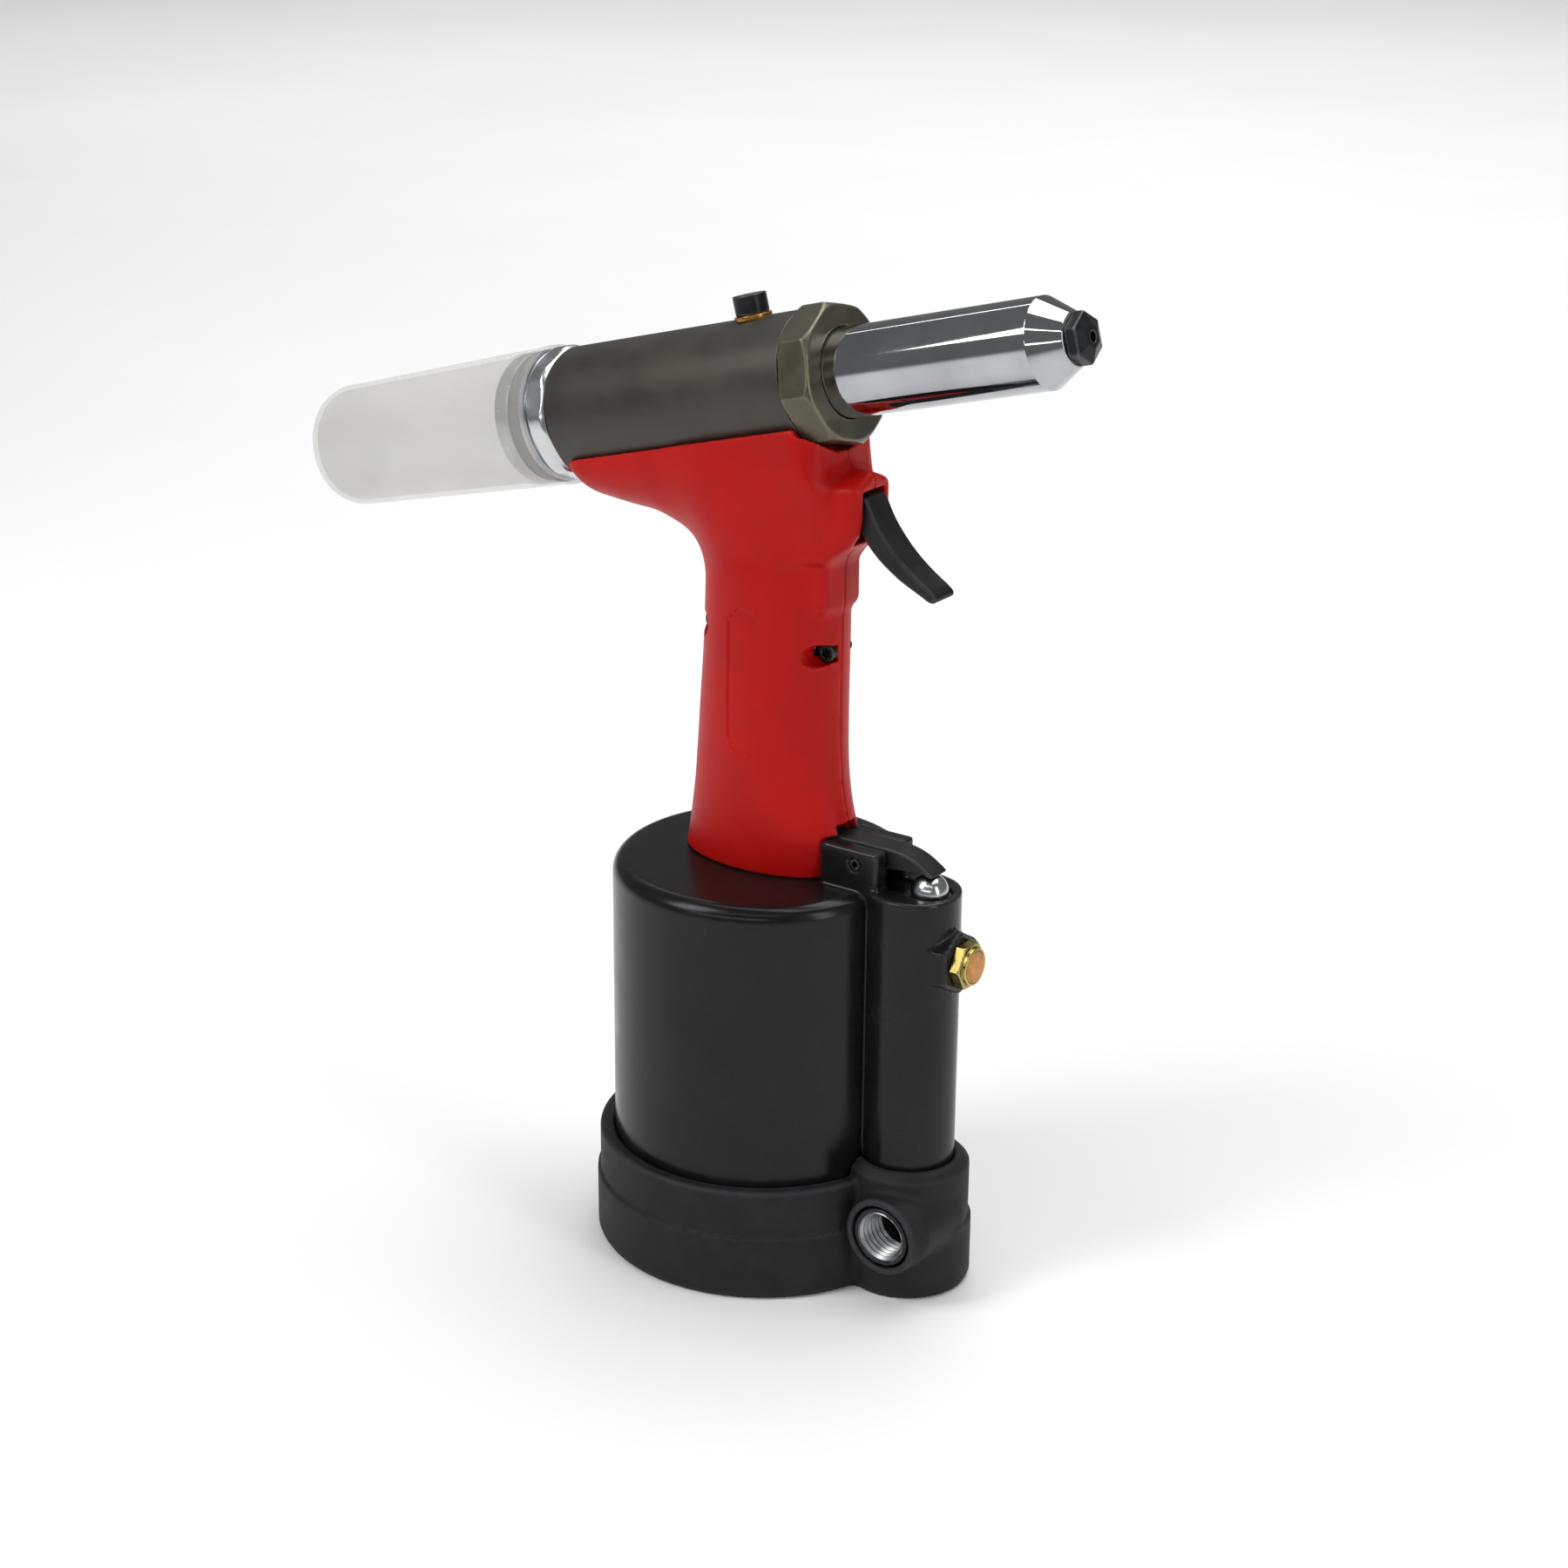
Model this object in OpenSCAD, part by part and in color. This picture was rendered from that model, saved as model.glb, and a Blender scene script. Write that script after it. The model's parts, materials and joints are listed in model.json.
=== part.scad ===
// Air over oil blind riveter: a foot cylinder lifts a ram into an oil column,
// and the oil pulls a hollow draw bar with gripping jaws back along a tilted barrel.
// +X points to the nose, +Y to the tool's left, +Z up. The origin is the centre
// of the foot's underside, on the axis of the air cylinder.

/* [Foot cylinder] */
// Outer radius of the air cylinder
cyl_r = 39; // [38.5:0.25:39.5]
// Height of the air cylinder's flat top above the floor
cyl_top = 106.35; // [106:0.05:106.6]
// Thickness of the cylinder wall
cyl_wall = 3.5; // [3:0.25:4]
// Radius of the rubber boot's lower band
boot_r = 43.8; // [43.5:0.1:44.5]
// Height of the rubber boot
boot_h = 30.2; // [29:0.1:31]

/* [Valve tower] */
// Distance of the tower's centre in front of the cylinder axis
tower_x = 46; // [45.5:0.25:46.5]
// Outer radius of the tower
tower_r = 11.9; // [11.5:0.1:12.2]
// Height of the tower
tower_h = 107.6; // [107:0.1:108]
// Radius of the ball ended valve pin
pin_r = 4.8; // [4.6:0.1:4.9]

/* [Air inlet] */
// Height of the inlet's axis above the floor
inlet_z = 19.5; // [19:0.25:20]
// Tapping drill radius of the quarter inch pipe thread
inlet_bore_r = 5.72; // [5.6:0.02:5.9]

/* [Barrel] */
// Angle that the barrel is tipped nose up
tilt = 14.47; // [14:0.01:15]
// Height where the barrel's axis crosses the cylinder axis
axis_z = 228.96; // [228.5:0.02:229.5]
// Outer radius of the grey head
head_r = 16.64; // [16.4:0.02:16.8]
// Radius of the oil cylinder inside the head
oil_r = 14; // [13.8:0.1:14.2]
// Radius of the chromed nose sleeve
sleeve_r = 10.94; // [10.8:0.02:11]
// Radius of the mandrel hole in the nosepiece
mandrel_r = 1.25; // [1.2:0.05:1.6]

/* [Travel] */
// Lift of the air piston
lift = 62; // [56:1:62]

/* [Hidden] */
$fn = 64;

fit = 0.06;       // radial clearance of a running fit
skin = 0.1;       // gap between fixed pieces that are slid together
e = 1;            // how far a cutter stands past a face

boot_floor = 3;
bore_r = cyl_r - cyl_wall;
valve_x = 50.5;   // axis of the valve inside the tower
valve_bore = 5.6;
ram_r = 5.5;
col_r = 10.5;     // oil column inside the grip
rod_x = 14.8;     // pull rod between the trigger and the lever
lever_px = 33.4;  // lever pivot
lever_pz = 113.4;
trig_px = 24;     // trigger pivot
trig_pz = 203;
muff_z = 90.8;
muff_x = 60.4;    // face of the boss that the muffler seats on

// stations along the barrel, measured forward of the cylinder axis
s_rear = -58.2;   // rear face of the head
s_front = 15.5;   // front face of the head
s_nut = 24.5;     // front face of the lock nut
s_cone = 81;      // where the sleeve starts to taper
s_tip = 88.3;     // front end of the sleeve
s_nose = 92.6;    // front end of the nosepiece
s_neck = -64.4;   // shoulder that the bottle's mouth meets
s_spigot = -75;   // rear end of the cap's spigot
s_bottle = -143.4;

// ---------- helpers ----------

// moves children into the tilted barrel: X runs along it and Z across it
module barrel() {
    translate([0, 0, axis_z])
        rotate([0, -tilt, 0])
            children();
}

// a rod along the barrel from s0 to s1
module bar(s0, s1, r, n = $fn) {
    translate([s0, 0, 0])
        rotate([0, 90, 0])
            cylinder(h = s1 - s0, r = r, $fn = n);
}

// a straight cone along the barrel
module bar_cone(s0, s1, r0, r1) {
    translate([s0, 0, 0])
        rotate([0, 90, 0])
            cylinder(h = s1 - s0, r1 = r0, r2 = r1);
}

// a solid turned about the barrel from [radius, station] points
module turned(points) {
    rotate([0, 90, 0])
        rotate_extrude()
            polygon(points);
}

module pipe(z0, z1, ro, ri) {
    translate([0, 0, z0])
        difference() {
            cylinder(h = z1 - z0, r = ro);
            translate([0, 0, -e])
                cylinder(h = z1 - z0 + 2 * e, r = ri);
        }
}

// a rod across the tool from y0 to y1 at x, z
module cross_rod(x, z, y0, y1, r, n = $fn) {
    translate([x, y1, z])
        rotate([90, 0, 0])
            cylinder(h = y1 - y0, r = r, $fn = n);
}

// a round ring of wire about Z
module ring(z, r, w) {
    translate([0, 0, z])
        rotate_extrude()
            translate([r, 0])
                circle(r = w, $fn = 24);
}

// a coil spring drawn as closed rings that share thin links
module coil(length, r, w, turns) {
    pitch = (length - 2 * w) / (turns - 1);
    for (i = [0 : turns - 1])
        ring(w + i * pitch, r, w);
    for (i = [0 : turns - 2])
        rotate([0, 0, 180 * (i % 2)])
            translate([r, 0, w + i * pitch])
                cylinder(h = pitch, r = w * 0.6, $fn = 16);
}

function ellipse(a, b, n) = [for (i = [0 : n - 1]) [a * cos(360 * i / n), b * sin(360 * i / n)]];

// ---------- foot ----------

// plan of the cylinder with its tower, grown by g
module foot_plan(g) {
    circle(r = cyl_r + g, $fn = 128);
    translate([tower_x, 0])
        circle(r = tower_r + g);
}

module inlet_bar(r, y0, y1) {
    cross_rod(valve_x + 0.3, inlet_z, y0, y1, r);
}

module base_boot() {
    step_z = 17.8;
    upper_g = boot_r - cyl_r - 0.8;
    color("#2f2f31")
        difference() {
            union() {
                linear_extrude(step_z)
                    foot_plan(boot_r - cyl_r);
                linear_extrude(boot_h)
                    foot_plan(upper_g);
                // collar up the tower, with a wide chamfer
                translate([tower_x, 0, 0]) {
                    cylinder(h = boot_h + 2.8, r = tower_r + upper_g);
                    translate([0, 0, boot_h + 2.8])
                        cylinder(h = 1.8, r1 = tower_r + upper_g, r2 = tower_r + upper_g - 1.8);
                }
                // fairing of the inlet, drawn out toward the front
                inlet_bar(10.3, -20.4, 0);
                cross_rod(valve_x + 4.7, inlet_z + 1, -17, 0, 7.4);
            }
            translate([0, 0, boot_floor])
                linear_extrude(boot_h + 6)
                    foot_plan(skin);
            inlet_bar(8.5, -20.4 - e, 0);
        }
}

module air_cylinder() {
    roof = 8;
    groove_z = boot_floor + 2;
    ear_x0 = 23.2;
    ear_len = 17;
    ear_top = 117.4;
    color("#1c1b1c")
        difference() {
            union() {
                // barrel with a rounded shoulder
                rotate_extrude($fn = 128) {
                    translate([0, boot_floor])
                        square([cyl_r, cyl_top - 4.2 - boot_floor]);
                    translate([0, boot_floor])
                        square([cyl_r - 4.2, cyl_top - boot_floor]);
                    translate([cyl_r - 4.2, cyl_top - 4.2])
                        intersection() {
                            circle(r = 4.2, $fn = 48);
                            square(5);
                        }
                }
                // valve tower with a narrow chamfer on its lip
                translate([tower_x, 0, boot_floor]) {
                    cylinder(h = tower_h - boot_floor - 0.8, r = tower_r);
                    cylinder(h = tower_h - boot_floor, r = tower_r - 0.8);
                }
                // boss of the air inlet
                inlet_bar(7.9, -20, 0);
                // six sided boss behind the muffler
                translate([tower_x, 0, muff_z])
                    rotate([0, 90, 0])
                        cylinder(h = muff_x - 0.1 - tower_x, r = 8.2, $fn = 6);
                // block with the two ears of the lever
                translate([ear_x0, -8.6, cyl_top - 5])
                    cube([ear_len, 17.2, ear_top - cyl_top + 5]);
            }
            // bore of the air cylinder, and the groove of its snap ring
            translate([0, 0, boot_floor - e])
                cylinder(h = cyl_top - roof - boot_floor + e, r = bore_r);
            translate([0, 0, groove_z])
                cylinder(h = 2, r = bore_r + 1.6);
            // thread of the oil column
            translate([0, 0, cyl_top - roof - e])
                cylinder(h = roof + 2 * e, r = 10);
            // valve bore, seat and mouth
            translate([valve_x, 0, 30])
                cylinder(h = 80, r = valve_bore);
            translate([valve_x, 0, boot_floor - e])
                cylinder(h = 40, r = 3.6);
            translate([valve_x, 0, boot_floor - e])
                cylinder(h = 8 + e, r = 5.2);
            // air inlet with its countersunk mouth
            inlet_bar(inlet_bore_r, -20 - e, -8);
            translate([valve_x + 0.3, -20, inlet_z])
                rotate([-90, 0, 0])
                    cylinder(h = 1, r1 = 6.62, r2 = inlet_bore_r);
            inlet_bar(3, -9, 0);
            // port into the cylinder below the piston
            translate([30, 0, 15])
                rotate([0, 90, 0])
                    cylinder(h = 18, r = 1.6, $fn = 24);
            // exhaust port and thread of the muffler
            translate([valve_x, 0, muff_z])
                rotate([0, 90, 0])
                    cylinder(h = 10, r = 3);
            translate([muff_x - 3, 0, muff_z])
                rotate([0, 90, 0])
                    cylinder(h = 4, r = 4.9);
            // slot between the ears, and the lever's pivot hole
            translate([ear_x0 - e, -4, cyl_top + 0.2])
                cube([ear_len + 2 * e, 8, 20]);
            cross_rod(lever_px, lever_pz, -10, 10, 1.6);
        }
}

module bottom_cap() {
    color("#a9abad")
        translate([0, 0, 7.05])
            difference() {
                cylinder(h = 5.5, r = bore_r - skin);
                translate([0, 0, 1.8])
                    pipe(0, 2.2, bore_r + e, bore_r - 1.9);
                translate([0, 0, -e])
                    cylinder(h = 3, r = bore_r - 8);
            }
}

module cap_seal() {
    color("#1a1a1a")
        translate([0, 0, 8.9])
            pipe(0, 2.1, bore_r - 0.05, bore_r - 1.85);
}

module snap_ring() {
    color("#5a5d60")
        difference() {
            pipe(boot_floor + 2.1, boot_floor + 3.9, bore_r + 1.5, bore_r - 3);
            translate([-cyl_r - 4, -5, boot_floor + 1])
                cube([8, 10, 5]);
            for (a = [-8, 8])
                rotate([0, 0, 180 + a * 1.6])
                    translate([bore_r - 1.6, 0, boot_floor])
                        cylinder(h = 6, r = 0.8, $fn = 24);
        }
}

module air_piston() {
    color("#b3b6b8")
        translate([0, 0, 18]) {
            difference() {
                cylinder(h = 13, r = bore_r - fit);
                translate([0, 0, 5])
                    pipe(0, 4, bore_r + e, bore_r - 3.2);
                translate([0, 0, 9.5])
                    pipe(0, 5, bore_r - 6, 9);
                translate([0, 0, -e])
                    cylinder(h = 16, r = 4 + fit);
                translate([0, 0, -e])
                    cylinder(h = 5.5 + e, r = 8);
            }
        }
}

module piston_seal() {
    color("#232323")
        translate([0, 0, 23.1])
            pipe(0, 3.8, bore_r - 0.02, bore_r - 3.1);
}

module ram_rod() {
    color("#d7dadd")
        union() {
            translate([0, 0, 18.6])
                cylinder(h = 13, r = 4);
            translate([0, 0, 31.1])
                cylinder(h = 88, r = ram_r);
            translate([0, 0, 119.1])
                cylinder(h = 1.5, r1 = ram_r, r2 = ram_r - 1.5);
        }
}

module ram_nut() {
    color("#6d6f72")
        translate([0, 0, 18.2])
            difference() {
                cylinder(h = 5.2, r = 7.5, $fn = 6);
                translate([0, 0, -e])
                    cylinder(h = 8, r = 4.05);
            }
}

module ram_gland() {
    color("#c9b36b")
        difference() {
            union() {
                pipe(93.7, 96.4, 9.4, ram_r + fit);
                pipe(96.3, 108, 7.9, ram_r + fit);
            }
            pipe(99.5, 102.7, 7.4, 5);
        }
}

module gland_seal() {
    color("#1a1a1a")
        pipe(99.6, 102.6, 7.35, ram_r + 0.02);
}

// ---------- valve ----------

module valve_plug() {
    color("#a9abad")
        translate([valve_x, 0, boot_floor + 0.1])
            difference() {
                cylinder(h = 7.8, r = 5.1);
                translate([0, 0, -e])
                    cylinder(h = 3 + e, r = 2.9, $fn = 6);
            }
}

module valve_spring() {
    color("#9a9c9f")
        translate([valve_x, 0, 30.1])
            coil(13.8, 4.4, 0.6, 6);
}

module valve_spool() {
    color("#c9b36b")
        translate([valve_x, 0, 44])
            difference() {
                cylinder(h = 40, r = valve_bore - fit);
                for (z = [5, 20, 33])
                    translate([0, 0, z])
                        pipe(0, 2.6, valve_bore + e, 4.2);
                for (z = [10, 25])
                    translate([0, 0, z])
                        pipe(0, 5.5, valve_bore + e, 3.4);
                translate([0, 0, -e])
                    cylinder(h = 4 + e, r = 3);
            }
}

module spool_seals() {
    color("#1a1a1a")
        for (z = [49, 64, 77])
            translate([valve_x, 0, z])
                pipe(0.1, 2.5, valve_bore - 0.03, 4.25);
}

module valve_bush() {
    color("#3a3a3c")
        translate([valve_x, 0, 0])
            pipe(98, tower_h - 1, valve_bore - 0.05, pin_r + fit);
}

module valve_pin() {
    color("#c8cbce")
        translate([valve_x, 0, 84.1])
            union() {
                cylinder(h = 23.6, r = pin_r);
                translate([0, 0, 23.6])
                    sphere(r = pin_r);
            }
}

module muffler_body() {
    color("#c9b36b")
        translate([muff_x, 0, muff_z])
            rotate([0, 90, 0])
                difference() {
                    union() {
                        translate([0, 0, -2.5])
                            cylinder(h = 2.6, r = 4.8);
                        rotate([0, 0, 30])
                            cylinder(h = 2.9, r = 6.3, $fn = 6);
                        cylinder(h = 4, r = 4.9);
                    }
                    translate([0, 0, 1.2])
                        cylinder(h = 6, r = 4.3);
                    translate([0, 0, -4])
                        cylinder(h = 8, r = 2.6);
                }
}

module muffler_disc() {
    color("#c98f50")
        translate([muff_x + 1.25, 0, muff_z])
            rotate([0, 90, 0])
                cylinder(h = 3.1, r = 4.25);
}

// ---------- lever and trigger ----------

module rocker_lever() {
    tail = rod_x - 2.3;
    outline = [[tail, 112.4], [tail, 117], [22, 117.6], [38.4, 117.7], [43, 117.5],
        [46, 116.9], [48.6, 115.9], [51, 114.5], [53.2, 112.9], [52.7, 112.55],
        [51.8, 112.75], [50.5, 113], [48, 112.95], [44, 112.75], [38.7, 112.1],
        [36, 110.8], [31, 110.8], [27, 112.2]];
    color("#232223")
        difference() {
            translate([0, 3.6, 0])
                rotate([90, 0, 0])
                    linear_extrude(7.2)
                        polygon(outline);
            cross_rod(lever_px, lever_pz, -5, 5, 1.56);
            translate([tail - e, -2, 110])
                cube([4.4 + e, 4, 10]);
        }
}

module lever_pin() {
    color("#3a3a3c")
        difference() {
            cross_rod(lever_px, lever_pz, -8.4, 8.4, 1.5);
            translate([lever_px, -8.4, lever_pz])
                rotate([90, 0, 0])
                    cylinder(h = 1, r = 0.9, $fn = 6, center = true);
        }
}

module push_rod() {
    color("#b9bcbf")
        difference() {
            union() {
                translate([rod_x, 0, 111])
                    cylinder(h = 90, r = 1.4);
                translate([rod_x - 2, -3.2, 110])
                    cube([4, 6.4, 2.1]);
                translate([rod_x - 2.4, -1.9, 200])
                    cube([4.8, 3.8, 6]);
            }
            cross_rod(rod_x, trig_pz, -5, 5, 1.25);
        }
}

module rod_pin() {
    color("#8d9093")
        cross_rod(rod_x, trig_pz, -3.9, 3.9, 1.2);
}

module trigger() {
    half = 4.4;
    blade = [[18.6, 200], [18.6, 206.2], [28.5, 206.6], [31.8, 206.4], [33.2, 204.6], [35, 201],
        [37.6, 197.4], [41.2, 193.4], [46, 189.4], [53, 184.9], [51.6, 183.3], [47.4, 184.9],
        [42, 187.4], [36.6, 191], [32.6, 194.8], [30.4, 198.2], [27, 199.4]];
    color("#232323")
        difference() {
            union() {
                translate([0, half, 0])
                    rotate([90, 0, 0])
                        linear_extrude(2 * half)
                            polygon(blade);
                for (y = [-half, half - 2])
                    translate([12.2, y, 200])
                        cube([8, 2, 6]);
            }
            cross_rod(trig_px, trig_pz, -6, 6, 1.56);
            cross_rod(rod_x, trig_pz, -6, 6, 1.55);
        }
}

module trigger_pin() {
    color("#8d9093")
        cross_rod(trig_px, trig_pz, -7.4, 7.4, 1.5);
}

// ---------- grip shells ----------

// side view of the grip, from the lever ears up to the head
module grip_side() {
    polygon([[-22.5, cyl_top + 0.1], [23, cyl_top + 0.1], [23, 118.4], [27.2, 118.4],
        [26.2, 121.5], [25.3, 125], [24.2, 131], [23.5, 138], [23.3, 146], [23.3, 177.6],
        [23.3, 189.5], [28.8, 193.3], [31.4, 197], [32, 201],
        [31.9, 212.1], [27, 213.2], [22.6, 214.4], [21.8, 216], [21.4, 222], [14, 226],
        [-54, 208], [-56, 199.4], [-53.5, 195.9], [-46.3, 194.4], [-37.8, 193.3],
        [-29.4, 192.3], [-25, 191], [-21.2, 188.6], [-18.3, 184.5], [-16.5, 178.4],
        [-16, 171.4], [-16.6, 157.4], [-18, 140.7], [-19.4, 126], [-21.6, 111]]);
}

module grip_solid() {
    intersection() {
        translate([0, 20, 0])
            rotate([90, 0, 0])
                linear_extrude(40)
                    grip_side();
        union() {
            translate([3.4, 0, 100])
                linear_extrude(110)
                    polygon(ellipse(20, 15.1, 48));
            translate([0.4, 0, 100])
                linear_extrude(24)
                    polygon(ellipse(23, 13.9, 48));
            // flat fronted box below the trigger, and the neck under the lock nut
            translate([10, -8.2, 176])
                cube([14, 16.4, 20]);
            translate([10, -10.8, 196])
                cube([12.5, 21.6, 26]);
            // guard around the trigger's pivot
            translate([0, 0, 189])
                linear_extrude(24)
                    polygon([[8, -12.2], [20, -12], [32.2, -7.2], [32.2, 7.2], [20, 12], [8, 12.2]]);
            difference() {
                barrel()
                    bar(-58, 15.4, 17.9);
                barrel()
                    translate([-80, -30, -10.2])
                        cube([120, 60, 60]);
            }
            // web that joins the column to the head
            intersection() {
                translate([-60, -12.5, 180])
                    cube([80, 25, 32]);
                barrel()
                    translate([-58, -30, -40])
                        cube([73, 60, 29]);
            }
        }
    }
}

module grip_hollow() {
    // head tube and oil column
    barrel() {
        bar(-70, 40, head_r + skin);
        bar(s_front, s_nut + 1, 18.2);
    }
    cylinder(h = 230, r = col_r + skin);
    // space between the walls
    translate([3.4, 0, 122])
        linear_extrude(54)
            polygon(ellipse(17.4, 12.6, 48));
    // channel of the pull rod
    translate([rod_x - 3, -4, 100])
        cube([6, 8, 108]);
    // pocket of the lever's tail and ears
    translate([11.6, -4, 100])
        cube([20, 8, 20.6]);
    translate([23, -9.2, 100])
        cube([8, 18.4, 17.8]);
    // slot of the trigger
    translate([11.4, -4.8, 190])
        cube([24, 9.6, 18]);
    translate([24, -4.8, 178])
        cube([12, 9.6, 14]);
    translate([11.2, -4.8, 200])
        cube([10, 9.6, 11.6]);
    cross_rod(trig_px, trig_pz, -7.5, 7.5, 1.56);
    // clearance of the two screws, and the wells over their heads
    for (p = screw_spots)
        translate([p[0], 0, p[1]])
            rotate([90, 0, 0]) {
                translate([0, 0, -16])
                    cylinder(h = 32, r = 1.6);
                translate([0, 0, p[2]])
                    cylinder(h = 16, r = well_r);
            }
    // shallow finger panel on each side
    for (y = [-15.4, 14.9])
        translate([3.6, y, 139])
            linear_extrude(37)
                translate([-4.2, 0])
                    square([8.4, 0.5]);
}

// x, z and distance of each head's seat from the middle plane
screw_spots = [[20.6, 165, 1.4], [-12.8, 168, 3]];
well_r = 2.8;

module screw_bosses() {
    for (p = screw_spots)
        intersection() {
            translate([p[0], 15, p[1]])
                rotate([90, 0, 0])
                    difference() {
                        cylinder(h = 30, r = 3.9);
                        translate([0, 0, -e])
                            cylinder(h = 40, r = 1.6);
                        translate([0, 0, 15 + p[2]])
                            cylinder(h = 16, r = well_r);
                    }
            translate([3.4, 0, 100])
                linear_extrude(110)
                    polygon(ellipse(19.6, 14.8, 48));
            difference() {
                translate([-30, -20, 150])
                    cube([60, 40, 40]);
                cylinder(h = 230, r = col_r + skin);
                translate([rod_x - 3, -4, 100])
                    cube([6, 8, 108]);
            }
        }
}

module grip_half(side) {
    color("#c01a12")
        intersection() {
            union() {
                difference() {
                    grip_solid();
                    grip_hollow();
                }
                screw_bosses();
            }
            translate([-80, side > 0 ? 0.02 : -30.02, 90])
                cube([140, 30, 150]);
        }
}

module grip_right() {
    grip_half(-1);
}

module grip_left() {
    grip_half(1);
}

module shell_screws() {
    color("#2a2a2a")
        for (p = screw_spots)
            translate([p[0], 0, p[1]])
                rotate([90, 0, 0])
                    difference() {
                        union() {
                            translate([0, 0, -6])
                                cylinder(h = 6.1 + p[2], r = 1.5);
                            translate([0, 0, p[2]])
                                cylinder(h = 2, r = 2.35);
                        }
                        translate([0, 0, p[2] + 0.8])
                            cylinder(h = 2, r = 1.25, $fn = 6);
                    }
}

// ---------- head ----------

module head_frame() {
    color("#464540")
        difference() {
            union() {
                barrel()
                    bar(s_rear, s_front, head_r);
                translate([0, 0, 108.5])
                    cylinder(h = axis_z - 108.5 - 8, r = col_r);
                translate([0, 0, 96.5])
                    cylinder(h = 16, r = 9.9);
            }
            barrel() {
                bar(-46, 4, oil_r);
                bar(s_rear - e, -45, oil_r + 0.6);
                bar(3, s_front, 8 + fit);
                bar(9, s_front + e, sleeve_r - 0.5 + skin);
                bar(4.6, 7.6, 10.4);
                translate([0, 0, 10])
                    cylinder(h = 10, r = 2.55);
                translate([0, 0, head_r - 0.5])
                    cylinder(h = 3, r = 5.2);
            }
            // oil passage, and the seat of the ram's gland
            translate([0, 0, 100])
                cylinder(h = 122, r = 6.4);
            translate([0, 0, 95])
                cylinder(h = 13.2, r = 8);
        }
}

module bleed_washer() {
    color("#b98a4a")
        barrel()
            translate([0, 0, head_r - 0.45])
                pipe(0, 1.2, 4.7, 2.6);
}

module bleed_screw() {
    color("#232325")
        barrel()
            translate([0, 0, head_r + 0.8])
                difference() {
                    union() {
                        cylinder(h = 4.9, r = 4.2);
                        translate([0, 0, -3.2])
                            cylinder(h = 4, r = 2.5);
                    }
                    translate([0, 0, 2.4])
                        cylinder(h = 4, r = 2.3, $fn = 6);
                }
}

module front_rod_seal() {
    color("#1a1a1a")
        barrel()
            difference() {
                bar(4.7, 7.5, 10.3);
                bar(4, 8, 8.02);
            }
}

module draw_bar() {
    color("#c8cbce")
        barrel()
            difference() {
                union() {
                    bar(-68, -18.5, 7);
                    bar(-19, -10, oil_r - fit);
                    bar(-10.5, 28, 8);
                    bar(27.5, 38, 5.5);
                }
                bar(-70, 40, 3.2);
                difference() {
                    bar(-16.2, -12.8, oil_r + e);
                    bar(-16.3, -12.7, oil_r - 2.2);
                }
            }
}

module head_piston_seal() {
    color("#1a1a1a")
        barrel()
            difference() {
                bar(-16.1, -12.9, oil_r - 0.02);
                bar(-17, -12, oil_r - 2.15);
            }
}

module head_spring() {
    color("#8d9093")
        barrel()
            translate([-46.4, 0, 0])
                rotate([0, 90, 0])
                    coil(27.3, 10.6, 1.1, 7);
}

// ---------- jaws ----------

module jaw_case() {
    color("#9a9c9f")
        barrel()
            difference() {
                bar(28.2, 77, 8.9);
                bar(28, 39, 5.56);
                bar(38.2, 62, 6.2);
                bar_cone(62, 76, 6.2, 2.6);
                bar(75.5, 78, 2.6);
            }
}

module jaw_spring() {
    color("#8d9093")
        barrel()
            translate([38.3, 0, 0])
                rotate([0, 90, 0])
                    coil(14.4, 4.9, 0.55, 6);
}

module jaw_pusher() {
    color("#6d6f72")
        barrel()
            difference() {
                union() {
                    bar(52.8, 59.2, 5.95);
                    bar_cone(59.1, 62.6, 5.95, 3.4);
                }
                bar(50, 64, 2.1);
            }
}

module jaw(k) {
    color("#5a5d60")
        barrel()
            rotate([120 * k + 90, 0, 0])
                intersection() {
                    difference() {
                        bar_cone(62, 75.4, 5.85, 2.4);
                        bar(60, 80, 1.35);
                        bar_cone(61.9, 64.4, 4.9, 1.35);
                    }
                    // a third of the circle, less a saw cut on each side
                    translate([60, 0, 0.5])
                        rotate([90, 0, 90])
                            linear_extrude(18)
                                polygon([[0, 0.1], [9, 5.3], [-9, 5.3]]);
                }
}

module jaw_1() {
    jaw(0);
}

module jaw_2() {
    jaw(1);
}

module jaw_3() {
    jaw(2);
}

// ---------- nose ----------

module lock_nut() {
    nut_r = 17.9;
    color("#5b594d")
        barrel()
            difference() {
                intersection() {
                    translate([s_front + 0.1, 0, 0])
                        rotate([0, 90, 0])
                            rotate([0, 0, 8])
                                cylinder(h = s_nut - s_front - 0.1, r = nut_r, $fn = 8);
                    turned([[0, s_front], [17, s_front], [18.4, s_front + 1.4], [18.4, s_nut - 1.6],
                        [16.4, s_nut], [0, s_nut]]);
                }
                bar(s_front - e, s_nut + e, sleeve_r + fit);
                bar_cone(s_nut - 1.2, s_nut + 0.1, sleeve_r, sleeve_r + 1.4);
            }
}

module nose_sleeve() {
    color("#d5d8dc")
        barrel()
            difference() {
                union() {
                    bar(9.2, 16, sleeve_r - 0.5);
                    bar(15.6, s_cone, sleeve_r);
                    bar_cone(s_cone - 0.01, s_tip, sleeve_r, 6.4);
                }
                bar(8, 80, 9.3);
                bar(79, s_tip + e, 4.05);
            }
}

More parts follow.
